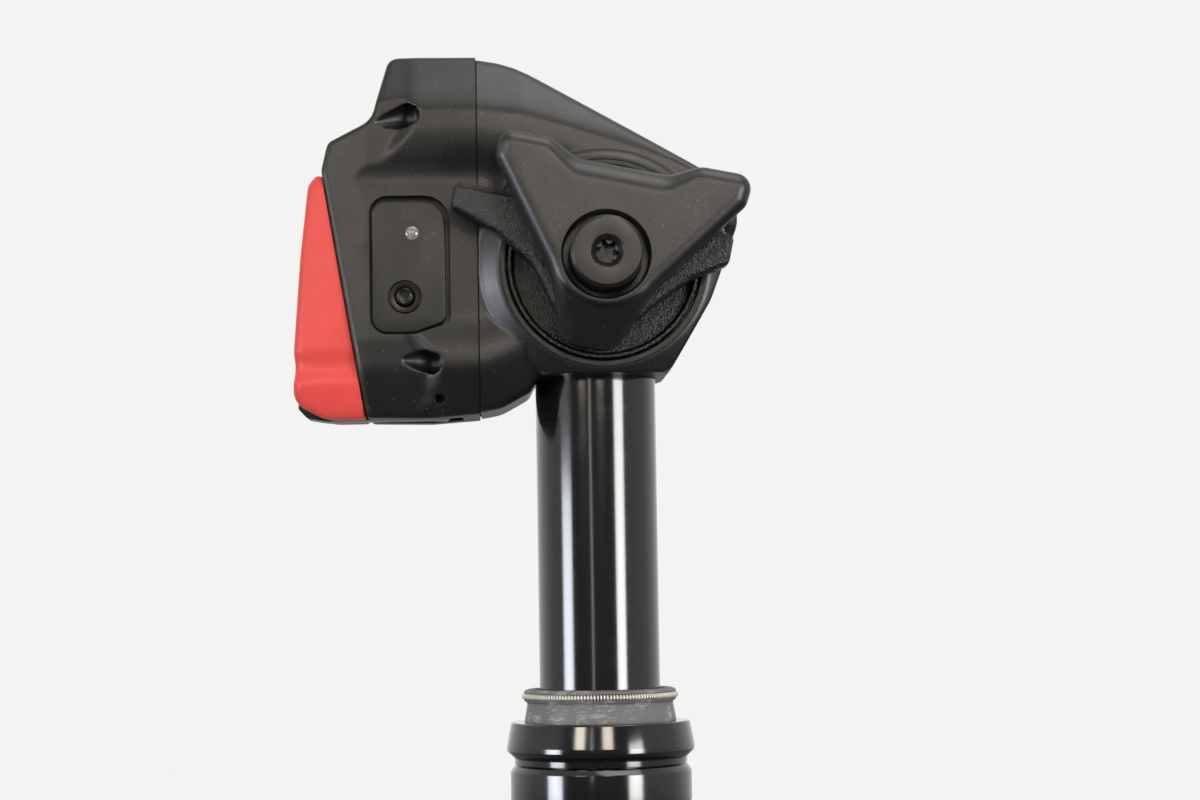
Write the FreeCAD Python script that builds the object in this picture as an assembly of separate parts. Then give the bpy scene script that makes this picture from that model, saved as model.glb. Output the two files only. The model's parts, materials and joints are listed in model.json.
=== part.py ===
import FreeCAD, Part  # noqa: E401  FreeCAD has to come first
import math
import os

from FreeCAD import Vector

# Bicycle dropper seatpost with a wireless electric head, all sizes in millimetres.
#
# Frame: +Z up along the post, origin at the centre of the lower tube's open end, +X forwards (towards the
# handlebar), -Y the rider's right.  The battery is behind the post, at -X.
# The post stands at full height, with its rail clamp tipped nose-down by CLAMP_TILT.
#
# Four groups of pieces: the lower post (held by the bicycle), the upper post (slides in it and carries the
# head and the valve module), the rail clamp (tilts about PIVOT) and the battery with its latch.

# ---------------------------------------------------------------- fits
FIT = 0.02          # radial gap of a seated piece
RUN = 0.05          # radial gap of a piece that slides or turns
GAP = 0.3           # gap between pieces that pass each other

# ---------------------------------------------------------------- lower post
POST_OD = 27.2      # fits a 27.2 mm seat tube
POST_WALL = 1.3
TUBE_LENGTH = 252.0
TRAVEL = 50.0
STANCHION_OD = 22.0
STANCHION_WALL = 1.7
STANCHION_INSERT = 75.0     # stanchion inside the lower post at full height
KEY_COUNT = 3
KEY_WIDTH = 3.0
KEY_LENGTH = 12.0
KEY_ENGAGES = 0.4           # key beyond the lower tube's bore
KEY_SINKS = 0.7             # key's pocket in the stanchion's wall
BUSHING_LENGTH = 23.0
COLLAR_R = 16.5
COLLAR_NECK_R = 14.5
COLLAR_LENGTH = 12.5        # tube collar below its shoulder
COLLAR_DROP = 3.8           # collar's shoulder below the tube's mouth
COLLAR_SEAT = 0.3           # tube turned down under the collar
CAP_R = 17.1
CAP_RISE = 3.6              # seal cap's top above the tube
CAP_HEIGHT = 7.2
WIPER_RISE = 6.4            # wiper above the seal cap
WIPER_R = 13.75
SPRING_WIRE_R = 0.5         # garter spring's coil
FOAM_HEIGHT = 2.4
PLUG_HEIGHT = 14.0
PLUG_SEAT = 16.0            # end plug's lower face above the tube's end
SHAFT_R = 5.0
SHAFT_BORE_R = 3.2
PISTON_HEIGHT = 9.0
VALVE_STEM_R = 3.8
VALVE_CAP_R = 5.0
RING_R = 0.9                # section radius of the O-rings

# ---------------------------------------------------------------- head and rail clamp
HEAD_GAP = 6.5              # head above the wiper at full drop
SOCKET_DEPTH = 11.5         # stanchion inside the head
SEAM_X = -21.0              # plane where the valve module meets the head
HEAD_HALF = 15.2            # half width of the head and the module at their screw bosses
FLAT_SUNK = 0.9             # flat sides between the bosses, below them
BEZEL_STANDS = 1.4          # clamp's round bezels beyond the head's side
BEZEL_FLARE = 3.1           # width of the bezel's sloping rim
PIVOT_X = 1.3
PIVOT_RISE = 19.7           # clamp axis above the head's underside
CLAMP_TILT = 11.6           # degrees, nose down
DRUM_R = 17.2
DRUM_DEPTH = 3.0
DRUM_RIM = 2.2              # drum's rim around its cast pocket
POCKET_DEPTH = 1.2
HUB_R = 10.0                # hub between the drum and its arm
BUSH_WALL = 1.15            # clamp bush around the drum
SLEEVE_R = 6.0
SLEEVE_BORE_R = 4.2
RAIL_R = 3.5                # standard 7 mm saddle rail
RAIL_SPACING = 44.0
RAIL_RISE = 11.0            # rail's centre above the clamp axis
GROOVE_CLEAR = 0.05
PLATE_HALF = 22.5           # half length of the outer clamp plate
PLATE_TOP = 17.7
PLATE_FOOT = 16.8
PLATE_WALL = 3.05           # outer clamp plate's wall beyond the rail
CRADLE_BACK = 28.6          # cradle arm behind the clamp axis
CRADLE_FRONT = 21.8
ARM_TOP = 8.8               # top of the arms above the clamp axis
COUNTERBORE_R = 7.5
WASHER_R = 6.5
WASHER_HEIGHT = 1.6
BOLT_R = 3.0
BOLT_HEAD_R = 6.35
BOLT_HEAD_HEIGHT = 7.0
NUT_HEAD_HEIGHT = 4.6
NUT_SLEEVE_R = 4.0

# ---------------------------------------------------------------- valve module, battery and latch
MODULE_WALL = 2.0
ROOM_WALL = 3.1             # side wall of the room for the circuit board
BAY_BACK_X = -41.6          # battery's contact face
BATTERY_HALF = 12.4
TONGUE_HALF = 10.2
CASE_WALL = 1.3
CELL_R = 4.0
CELL_LENGTH = 29.0
CONTACT_R = 0.9
CONTACT_SPACING = 9.0
SCREW_HEAD_R = 2.3
SCREW_R = 1.25
SCREW_HEAD_HEIGHT = 2.2
UPPER_SCREW = (-31.5, 10.6, 46.4)   # seat of the screw's head: x, half spacing, z above the head's underside
LOWER_SCREW = (-28.6, 10.9, 1.9)
PANEL_X = (-40.2, -27.0)
PANEL_Z = (7.8, 31.5)
PANEL_THICK = 1.8
PANEL_SUNK = 0.7            # panel's face below the housing's flat side
PANEL_CORNER = 2.6
LED_AT = (-32.9, 25.7)
LED_R = 1.25
BUTTON_AT = (-34.3, 14.2)
BUTTON_R = 1.6
BUTTON_RING_R = 2.9
BUTTON_STANDS = 0.9
BUTTON_TRAVEL = 0.6
MOTOR_R = 5.0
MOTOR_LENGTH = 10.0
GEARBOX_LENGTH = 5.0
VALVE_ROD_R = 1.9
VALVE_TRAVEL = 2.0
VALVE_ROD_RISE = 5.0        # valve rod above the head's underside
LATCH_PIN_AT = (-28.3, -4.2)
LATCH_PIN_R = 1.0
LATCH_HALF = 4.5
LATCH_THICK = 1.9
LATCH_BARREL_R = 1.8

# ---------------------------------------------------------------- levels that follow
POST_R = POST_OD / 2
TUBE_BORE_R = POST_R - POST_WALL
STANCHION_R = STANCHION_OD / 2
STANCHION_BORE_R = STANCHION_R - STANCHION_WALL
KEY_TOP_R = TUBE_BORE_R + KEY_ENGAGES
COLLAR_TOP = TUBE_LENGTH - COLLAR_DROP
COLLAR_FOOT = COLLAR_TOP - COLLAR_LENGTH
COLLAR_BORE_R = POST_R - COLLAR_SEAT + FIT
CAP_TOP = TUBE_LENGTH + CAP_RISE
WIPER_TOP = CAP_TOP + WIPER_RISE
HEAD_BASE = WIPER_TOP + TRAVEL + HEAD_GAP
STANCHION_FOOT = WIPER_TOP - STANCHION_INSERT
STANCHION_TOP = HEAD_BASE + SOCKET_DEPTH
FOAM_TOP = TUBE_LENGTH - 0.2
BUSHING_TOP = FOAM_TOP - FOAM_HEIGHT - 0.2
BUSHING_FOOT = BUSHING_TOP - BUSHING_LENGTH
KEY_TOP = BUSHING_FOOT - 0.8
SEAL_HEAD_HEIGHT = 12.0
PISTON_FOOT = STANCHION_FOOT + SEAL_HEAD_HEIGHT + 6.0
PISTON_TOP = PISTON_FOOT + PISTON_HEIGHT
PLUG_TOP = PLUG_SEAT + PLUG_HEIGHT
BEZEL_HALF = HEAD_HALF + BEZEL_STANDS
FLAT_HALF = HEAD_HALF - FLAT_SUNK
ROOM_HALF = FLAT_HALF - ROOM_WALL
PANEL_FACE = -FLAT_HALF + PANEL_SUNK
BOARD_FACE = PANEL_FACE + 4.1
PIVOT = Vector(PIVOT_X, 0, HEAD_BASE + PIVOT_RISE)
DRUM_FACE = BEZEL_HALF - 0.4
DRUM_FLOOR = DRUM_FACE - DRUM_DEPTH
BUSH_IN_R = DRUM_R + GAP
BUSH_OUT_R = BUSH_IN_R + BUSH_WALL
GROOVE_R = RAIL_R + GROOVE_CLEAR
RAIL_Y = RAIL_SPACING / 2
CRADLE_IN = BEZEL_HALF + GAP
PLATE_OUT = RAIL_Y + GROOVE_R + PLATE_WALL
COUNTERBORE_FLOOR = RAIL_Y + 2.6
BOLT_SEAT = COUNTERBORE_FLOOR + WASHER_HEIGHT

X, Y, Z = Vector(1, 0, 0), Vector(0, 1, 0), Vector(0, 0, 1)


# ---------------------------------------------------------------- shapes
def corner_wire(points, place):
    """Closed wire through (a, b, radius) corners, each rounded; place maps (a, b) to a Vector."""
    edges, tangents = [], []
    count = len(points)
    for i, (a, b, radius) in enumerate(points):
        here = Vector(a, b, 0)
        back = Vector(*points[i - 1][:2], 0) - here
        ahead = Vector(*points[(i + 1) % count][:2], 0) - here
        back.normalize()
        ahead.normalize()
        if radius <= 0:
            tangents.append((here, None, here))
            continue
        half = back.getAngle(ahead) / 2
        reach = radius / math.tan(half)
        middle = back + ahead
        middle.normalize()
        deep = middle * (radius / math.sin(half) - radius)
        tangents.append((here + back * reach, here + deep, here + ahead * reach))
    for i, (start, deep, end) in enumerate(tangents):
        if deep is not None:
            edges.append(Part.Arc(place(start), place(deep), place(end)).toShape())
        following = tangents[(i + 1) % count][0]
        if (following - end).Length > 1e-6:
            edges.append(Part.LineSegment(place(end), place(following)).toShape())
    return Part.Wire(edges)


def plate_xz(points, y_low, y_high):
    """Side outline (x, z, radius) drawn out from y_low to y_high."""
    wire = corner_wire(points, lambda p: Vector(p.x, y_low, p.y))
    return Part.Face(wire).extrude(Y * (y_high - y_low))


def plate_yz(points, x_low, x_high):
    """Front outline (y, z, radius) drawn out from x_low to x_high."""
    wire = corner_wire(points, lambda p: Vector(x_low, p.x, p.y))
    return Part.Face(wire).extrude(X * (x_high - x_low))


def plate_xy(points, z_low, z_high):
    """Plan outline (x, y, radius) drawn out from z_low to z_high."""
    wire = corner_wire(points, lambda p: Vector(p.x, p.y, z_low))
    return Part.Face(wire).extrude(Z * (z_high - z_low))


def turned(profile):
    """Solid of revolution about the post's axis, from (radius, z, corner radius) points."""
    wire = corner_wire(profile, lambda p: Vector(p.x, 0, p.y))
    return Part.Face(wire).revolve(Vector(), Z, 360)


def box(x_span, y_span, z_span):
    """Box between three (low, high) spans."""
    size = [high - low for low, high in (x_span, y_span, z_span)]
    return Part.makeBox(*size, Vector(x_span[0], y_span[0], z_span[0]))


def rod(radius, start, end):
    """Cylinder from one point to another."""
    along = end - start
    return Part.makeCylinder(radius, along.Length, start, along)


def rod_z(radius, z_low, z_high, x=0.0, y=0.0):
    """Upright cylinder."""
    return rod(radius, Vector(x, y, z_low), Vector(x, y, z_high))


def rod_y(radius, y_low, y_high, x, z):
    """Cylinder across the post."""
    return rod(radius, Vector(x, y_low, z), Vector(x, y_high, z))


def rod_x(radius, x_low, x_high, y, z):
    """Cylinder along the ride direction."""
    return rod(radius, Vector(x_low, y, z), Vector(x_high, y, z))


def tube_z(outer, inner, z_low, z_high):
    """Upright ring."""
    return rod_z(outer, z_low, z_high).cut(rod_z(inner, z_low - 1, z_high + 1))


def ring_z(radius, section, z):
    """Round-section ring about the post's axis."""
    return Part.makeTorus(radius, section, Vector(0, 0, z), Z)


def outer_ring(bore_r, z):
    """O-ring that meets a bore of radius bore_r."""
    return ring_z(bore_r - FIT - RING_R, RING_R, z)


def outer_groove(bore_r, z):
    """Cutter of the groove in which an outer ring lies."""
    return tube_z(bore_r + 1, bore_r - 2 * RING_R - 2 * FIT, z - RING_R - 0.1, z + RING_R + 0.1)


def inner_ring(shaft_r, z):
    """O-ring that meets a shaft of radius shaft_r."""
    return ring_z(shaft_r + FIT + RING_R, RING_R, z)


def inner_groove(shaft_r, z):
    """Cutter of the groove in which an inner ring lies."""
    return tube_z(shaft_r + 2 * RING_R + 2 * FIT, shaft_r - 1, z - RING_R - 0.1, z + RING_R + 0.1)


def mirrored(shape):
    """The same piece on the rider's left."""
    return shape.mirror(Vector(), Y)


def both_sides(shape):
    """The piece and its mirror image as two solids."""
    return Part.makeCompound([shape, mirrored(shape)])


def around_post(shape, count):
    """Copies of a shape evenly spaced around the post."""
    copies = []
    for i in range(count):
        copy = shape.copy()
        copy.rotate(Vector(), Z, 360.0 * i / count)
        copies.append(copy)
    return copies


def above_base(points):
    """Corners given above the head's underside, moved to their height."""
    return [(a, b + HEAD_BASE, r) for a, b, r in points]


def tilted(shape):
    """A clamp piece drawn level about the origin, put on the pivot and tipped nose down."""
    placed = shape.copy()
    placed.rotate(Vector(), Y, CLAMP_TILT)
    placed.translate(PIVOT)
    return placed


# ---------------------------------------------------------------- lower post
def lower_tube():
    """Tube that the bicycle's seat clamp holds, with keyways along its bore."""
    lead = 0.3
    tube = turned([
        (POST_R - lead, 0, 0), (POST_R, lead, 0), (POST_R, COLLAR_FOOT, 0),
        (POST_R - COLLAR_SEAT, COLLAR_FOOT, 0), (POST_R - COLLAR_SEAT, TUBE_LENGTH, 0),
        (TUBE_BORE_R, TUBE_LENGTH, 0), (TUBE_BORE_R, 0, 0),
    ])
    keyway_half = KEY_WIDTH / 2 + 2 * RUN
    keyway_top_r = KEY_TOP_R + 2 * RUN
    keyway = box((0, keyway_top_r), (-keyway_half, keyway_half), (PLUG_TOP + 30, BUSHING_FOOT))
    tube = tube.cut(around_post(keyway, KEY_COUNT))
    return tube.cut(rod_z(TUBE_BORE_R + 0.5, PLUG_SEAT - 1.5, PLUG_SEAT - 0.1))


def tube_collar():
    """Collar bonded round the tube's mouth, threaded for the seal cap."""
    foot, shoulder = COLLAR_FOOT + FIT, COLLAR_TOP
    return turned([
        (COLLAR_BORE_R, foot, 0), (POST_R + 0.5, foot, 0), (COLLAR_R, foot + 6.2, 1.5),
        (COLLAR_R, shoulder - 1.0, 0.2), (COLLAR_R - 0.7, shoulder, 0.2), (COLLAR_NECK_R, shoulder, 0),
        (COLLAR_NECK_R, TUBE_LENGTH, 0), (COLLAR_BORE_R, TUBE_LENGTH, 0),
    ])


def seal_cap():
    """Ring screwed over the collar, which holds the wiper down."""
    foot = CAP_TOP - CAP_HEIGHT
    neck = COLLAR_NECK_R + FIT
    wiper_hole = WIPER_R + 0.15
    shelf = CAP_TOP - 1.5
    return turned([
        (neck, foot, 0), (CAP_R - 1.4, foot, 0), (CAP_R - 1.2, foot + 0.9, 0.2), (CAP_R, foot + 2.6, 0.3),
        (CAP_R, foot + 3.2, 0.3), (CAP_R - 0.8, CAP_TOP, 0.4), (wiper_hole, CAP_TOP, 0.2),
        (wiper_hole, shelf, 0), (neck, shelf, 0),
    ])


def wiper_seal():
    """Rubber wiper with a groove for its garter spring."""
    flange_r = COLLAR_NECK_R - 0.1
    flange_top = CAP_TOP - 1.6
    lip = STANCHION_R + 0.15
    seal = turned([
        (STANCHION_R + 0.9, TUBE_LENGTH + 0.1, 0), (flange_r, TUBE_LENGTH + 0.1, 0.2),
        (flange_r, flange_top, 0.2), (WIPER_R, flange_top, 0), (WIPER_R, CAP_TOP + 1.0, 0),
        (WIPER_R - 0.45, WIPER_TOP - 2.3, 0.3), (WIPER_R + 0.15, WIPER_TOP - 1.9, 0.2),
        (WIPER_R + 0.15, WIPER_TOP - 0.5, 0.3), (WIPER_R - 0.6, WIPER_TOP, 0.2), (lip + 0.9, WIPER_TOP, 0.2),
        (lip, WIPER_TOP - 0.9, 0.2), (lip + 0.6, WIPER_TOP - 2.6, 0.3),
    ])
    return seal.cut(ring_z(WIPER_R, SPRING_WIRE_R + 0.06, WIPER_TOP - 1.25))


def garter_spring():
    """Coiled ring that presses the wiper's lip on the stanchion."""
    return ring_z(WIPER_R, SPRING_WIRE_R, WIPER_TOP - 1.25)


def foam_ring():
    """Oiled foam ring under the wiper."""
    return tube_z(TUBE_BORE_R - FIT, STANCHION_R + GAP, FOAM_TOP - FOAM_HEIGHT, FOAM_TOP)


def upper_bushing():
    """Bushing in the tube's mouth that the stanchion slides in."""
    return tube_z(TUBE_BORE_R - FIT, STANCHION_R + RUN, BUSHING_FOOT, BUSHING_TOP)


def end_plug():
    """Plug in the tube's foot, which carries the shaft above and the air valve below."""
    plug = rod_z(TUBE_BORE_R - FIT, PLUG_SEAT, PLUG_TOP)
    return plug.cut([
        outer_groove(TUBE_BORE_R, PLUG_SEAT + PLUG_HEIGHT / 2),
        rod_z(SHAFT_R + FIT, PLUG_TOP - 9.0, PLUG_TOP + 1),
        rod_z(VALVE_STEM_R + FIT, PLUG_SEAT - 1, PLUG_TOP - 9.0),
    ])


def plug_ring():
    """O-ring round the end plug."""
    return outer_ring(TUBE_BORE_R, PLUG_SEAT + PLUG_HEIGHT / 2)


def circlip():
    """Snap ring under the end plug."""
    ring = tube_z(TUBE_BORE_R + 0.4, TUBE_BORE_R - 1.2, PLUG_SEAT - 1.4, PLUG_SEAT - 0.2)
    return ring.cut(box((-2.5, 2.5), (0, POST_R), (0, PLUG_SEAT)))


def inner_shaft():
    """Hollow shaft that stands on the end plug and carries the piston."""
    return tube_z(SHAFT_R, SHAFT_BORE_R, PLUG_TOP - 8.9, PISTON_TOP - 1.0)


def main_piston():
    """Piston on the shaft, inside the stanchion."""
    piston_r = STANCHION_BORE_R - RUN
    piston = tube_z(piston_r, SHAFT_R + FIT, PISTON_FOOT, PISTON_TOP)
    piston = piston.fuse(tube_z(piston_r, SHAFT_BORE_R, PISTON_TOP - 0.98, PISTON_TOP)).removeSplitter()
    return piston.cut(outer_groove(STANCHION_BORE_R, (PISTON_FOOT + PISTON_TOP) / 2))


def piston_ring():
    """O-ring round the piston."""
    return outer_ring(STANCHION_BORE_R, (PISTON_FOOT + PISTON_TOP) / 2)


def piston_nut():
    """Nut that closes the shaft's top on the piston."""
    hexagon = [
        (5.2 * math.cos(math.radians(60 * i)), 5.2 * math.sin(math.radians(60 * i)), 0) for i in range(6)
    ]
    nut = plate_xy(hexagon, PISTON_TOP + 0.02, PISTON_TOP + 3.0)
    nut = nut.fuse(rod_z(SHAFT_BORE_R - FIT, PISTON_TOP - 8.0, PISTON_TOP + 0.02)).removeSplitter()
    return nut.cut(rod_z(1.2, PISTON_TOP - 9.0, PISTON_TOP + 4.0))


def top_out_bumper():
    """Rubber ring that the seal head meets at full height."""
    low = STANCHION_FOOT + SEAL_HEAD_HEIGHT + 0.4
    return tube_z(SHAFT_R + 2.2, SHAFT_R + RUN, low, PISTON_FOOT - 0.1)


def bottom_out_bumper():
    """Rubber ring on the end plug."""
    return tube_z(SHAFT_R + 3.2, SHAFT_R + RUN, PLUG_TOP + 0.05, PLUG_TOP + 6.0)


def air_valve():
    """Valve stem in the end plug, with a shoulder at the plug."""
    stem = rod_z(VALVE_STEM_R, PLUG_SEAT - 10.0, PLUG_TOP - 9.2)
    stem = stem.fuse(rod_z(VALVE_STEM_R + 1.6, PLUG_SEAT - 2.0, PLUG_SEAT - 0.02)).removeSplitter()
    return stem.cut(rod_z(2.0, PLUG_SEAT - 11.0, PLUG_TOP))


def valve_core():
    """Core screwed into the valve stem, with its pin."""
    core = rod_z(2.0 - FIT, PLUG_SEAT - 9.0, PLUG_TOP - 10.0)
    return core.fuse(rod_z(0.6, PLUG_SEAT - 9.8, PLUG_SEAT - 9.0)).removeSplitter()


def valve_cap():
    """Dust cap over the valve stem."""
    cap = rod_z(VALVE_CAP_R, PLUG_SEAT - 12.0, PLUG_SEAT - 3.0)
    cap = cap.cut(rod_z(VALVE_STEM_R + RUN, PLUG_SEAT - 10.5, PLUG_SEAT))
    return cap.makeFillet(0.5, [e for e in cap.Edges if abs(e.CenterOfMass.z - (PLUG_SEAT - 12.0)) < 1e-6])


# ---------------------------------------------------------------- upper post
def stanchion():
    """Sliding tube, with pockets for its keys, a seat for its glide ring and a hole for the valve rod."""
    tube = tube_z(STANCHION_R, STANCHION_BORE_R, STANCHION_FOOT, STANCHION_TOP)
    pocket_half = KEY_WIDTH / 2 + FIT
    pocket = box(
        (STANCHION_R - KEY_SINKS - FIT, POST_R), (-pocket_half, pocket_half),
        (KEY_TOP - KEY_LENGTH - FIT, KEY_TOP + FIT),
    )
    tube = tube.cut(around_post(pocket, KEY_COUNT))
    seat = tube_z(POST_R, STANCHION_R - 0.5, STANCHION_FOOT + 3.0, STANCHION_FOOT + 15.0)
    tube = tube.cut(seat)
    rod_hole = rod_x(VALVE_ROD_R + GAP, -POST_R, 0, 0, HEAD_BASE + VALVE_ROD_RISE)
    return tube.cut(rod_hole)


def guide_keys():
    """Brass keys that stop the stanchion turning."""
    key = box(
        (STANCHION_R - KEY_SINKS, KEY_TOP_R), (-KEY_WIDTH / 2, KEY_WIDTH / 2), (KEY_TOP - KEY_LENGTH, KEY_TOP)
    )
    rounded = key.makeFillet(0.5, [e for e in key.Edges if abs(e.CenterOfMass.x - KEY_TOP_R) < 1e-6])
    return Part.makeCompound(around_post(rounded, KEY_COUNT))


def glide_ring():
    """Ring near the stanchion's foot that runs in the lower tube."""
    low, high = STANCHION_FOOT + 3.0 + FIT, STANCHION_FOOT + 15.0 - FIT
    ring = tube_z(TUBE_BORE_R - RUN, STANCHION_R - 0.5 + FIT, low, high)
    return ring.cut(box((-0.6, 0.6), (-POST_R, 0), (low - 1, high + 1)))


def seal_head():
    """Plug in the stanchion's foot that slides on the shaft."""
    head = tube_z(STANCHION_BORE_R - FIT, SHAFT_R + RUN, STANCHION_FOOT, STANCHION_FOOT + SEAL_HEAD_HEIGHT)
    head = head.fuse(tube_z(STANCHION_R - 0.2, SHAFT_R + RUN, STANCHION_FOOT - 2.0, STANCHION_FOOT - FIT))
    head = head.removeSplitter()
    neck = tube_z(STANCHION_BORE_R - FIT, SHAFT_R + RUN, STANCHION_FOOT - 1.0, STANCHION_FOOT + 1.0)
    head = head.fuse(neck).removeSplitter()
    return head.cut([
        outer_groove(STANCHION_BORE_R, STANCHION_FOOT + 4.0), inner_groove(SHAFT_R, STANCHION_FOOT + 8.5),
    ])


def seal_head_rings():
    """Outer and inner O-rings of the seal head."""
    return Part.makeCompound([
        outer_ring(STANCHION_BORE_R, STANCHION_FOOT + 4.0), inner_ring(SHAFT_R, STANCHION_FOOT + 8.5),
    ])


def valve_body():
    """Valve block in the stanchion's top, with a cross bore for the valve rod."""
    low, high = HEAD_BASE - 16.0, STANCHION_TOP - 0.2
    body = rod_z(STANCHION_BORE_R - FIT, low, high)
    rod_bore = rod_x(VALVE_ROD_R + RUN, -POST_R, VALVE_TRAVEL + 2.5, 0, HEAD_BASE + VALVE_ROD_RISE)
    port = rod_z(1.6, low - 1, HEAD_BASE + VALVE_ROD_RISE, 0.5, 0)
    return body.cut([outer_groove(STANCHION_BORE_R, low + 4.0), rod_bore, port])


def valve_body_ring():
    """O-ring round the valve block."""
    return outer_ring(STANCHION_BORE_R, HEAD_BASE - 12.0)


# ---------------------------------------------------------------- head and valve module
WIDTH_OUTLINE = [   # narrowing from HEAD_HALF and height of the head and module, from the underside up
    (5.4, -7.6, 2.0), (1.3, -2.6, 3.0), (0.0, 2.8, 2.5), (FLAT_SUNK, 10.5, 4.0), (FLAT_SUNK, 37.0, 4.0),
    (0.0, 47.4, 2.5), (5.4, 58.5, 2.5),
]


def width_body(x_low, x_high, points=WIDTH_OUTLINE, inset=0.0):
    """Solid with the head's front outline, from x_low to x_high."""
    right = [(HEAD_HALF - narrower - inset, z, r) for narrower, z, r in points]
    left = [(-half, z, r) for half, z, r in reversed(right)]
    return plate_yz(above_base(right + left), x_low, x_high)


HEAD_SIDE = [       # x and height of the head's side outline, clockwise from the seam's foot
    (SEAM_X, -6.6, 0), (-17.2, -5.8, 6.0), (-12.2, -3.0, 1.5), (-10.4, 0, 0), (12.8, 0, 0.8),
    (15.4, 4.3, 6.0), (20.4, 12.8, 10.0), (25.6, 26.5, 5.0), (25.4, 33.1, 3.0), (-15.6, 57.2, 22.0),
    (SEAM_X, 58.2, 0),
]

MODULE_SIDE = [     # x and height of the module's side outline, clockwise from the seam's top
    (SEAM_X - 0.25, 58.2, 0.3), (-36.9, 58.3, 2.2), (-40.0, 46.2, 4.0), (-48.0, 42.4, 1.8),
    (-49.2, 37.4, 1.0),
    (-48.7, 34.6, 0.5), (-41.5, -7.2, 0.6), (-30.0, -7.4, 8.0), (SEAM_X - 0.25, -6.6, 0.3),
]


def head_casting():
    """Aluminium head: stanchion socket, bezels for the clamp and a hollow back to the valve module."""
    body = plate_xz(above_base(HEAD_SIDE), -BEZEL_HALF, BEZEL_HALF)
    body = body.common(width_body(SEAM_X, 30.0))
    bezel = bezel_body().common(plate_xz(above_base(HEAD_SIDE), -BEZEL_HALF, BEZEL_HALF))
    body = body.fuse(bezel).removeSplitter()
    body = body.cut(rod_z(STANCHION_R + FIT, HEAD_BASE - 10, STANCHION_TOP + FIT))
    recess = rod_y(BUSH_OUT_R + FIT, DRUM_FLOOR - 0.2, 30, PIVOT.x, PIVOT.z)
    body = body.cut([recess, mirrored(recess)])
    body = body.cut(rod_y(SLEEVE_R + RUN, -30, 30, PIVOT.x, PIVOT.z))
    rod_z_at = HEAD_BASE + VALVE_ROD_RISE
    body = body.cut(rod_x(VALVE_ROD_R + GAP, SEAM_X - 1, 0, 0, rod_z_at))
    body = body.cut(box((SEAM_X - 1, -14.5), (-6.5, 6.5), (HEAD_BASE - 1, HEAD_BASE + 11)))
    body = body.cut(box((SEAM_X - 1, -1.5), (-8.0, 8.0), (HEAD_BASE + 40, HEAD_BASE + 45.5)))
    return body.cut(screw_holes(SCREW_R + FIT, SEAM_X + 10.0))


def bezel_body():
    """Round bezels of the clamp on both sides, with sloping rims."""
    flat_r = BUSH_OUT_R + 0.25
    foot = HEAD_HALF - 0.3
    body = rod_y(flat_r + BEZEL_FLARE, -foot, foot, PIVOT.x, PIVOT.z)
    rim = Part.makeCone(
        flat_r + BEZEL_FLARE, flat_r, BEZEL_HALF - foot, Vector(PIVOT.x, foot, PIVOT.z), Y
    )
    return body.fuse([rim, mirrored(rim)])


def screw_rows():
    """Seats of the four module screws."""
    return [(x, side * y, HEAD_BASE + z) for x, y, z in (UPPER_SCREW, LOWER_SCREW) for side in (-1, 1)]


def screw_holes(radius, x_end):
    """Clearance for the module screws' shanks up to x_end."""
    return [rod_x(radius, x, x_end, y, z) for x, y, z in screw_rows()]


def module_screws():
    """Four screws from the module's pockets into the head."""
    screws = []
    for x, y, z in screw_rows():
        screw = rod_x(SCREW_HEAD_R, x - SCREW_HEAD_HEIGHT, x, y, z)
        screw = screw.fuse(rod_x(SCREW_R, x, SEAM_X + 9.5, y, z)).removeSplitter()
        screws.append(screw.cut(rod_x(0.95, x - 3, x - 0.9, y, z)))
    return Part.makeCompound(screws)


def module_outside():
    """Outer form of the module housing, before its pockets."""
    body = plate_xz(above_base(MODULE_SIDE), -HEAD_HALF, HEAD_HALF)
    body = body.common(width_body(-60.0, SEAM_X))
    taper = plate_xy(
        [
            (SEAM_X + 1, -20, 0), (SEAM_X + 1, 20, 0), (-40.5, HEAD_HALF + 0.02, 0), (-49.5, 12.3, 0),
            (-60, 9.0, 0), (-60, -9.0, 0), (-49.5, -12.3, 0), (-40.5, -HEAD_HALF - 0.02, 0),
        ],
        HEAD_BASE - 20, HEAD_BASE + 70,
    )
    body = body.common(taper)
    for (x, y, z), low, high in ((UPPER_SCREW, 44.0, 70.0), (LOWER_SCREW, -20.0, 4.9)):
        outside = y + SCREW_HEAD_R + 0.5
        facet = plate_xy(
            [
                (x + 0.6, outside, 1.0), (x + 0.6, 30, 0), (-60, 30, 0), (-60, outside - 2.4, 0),
                (x - 9.0, outside - 2.4, 4.0),
            ],
            HEAD_BASE + low, HEAD_BASE + high,
        )
        body = body.cut([facet, mirrored(facet)])
    return body


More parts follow.
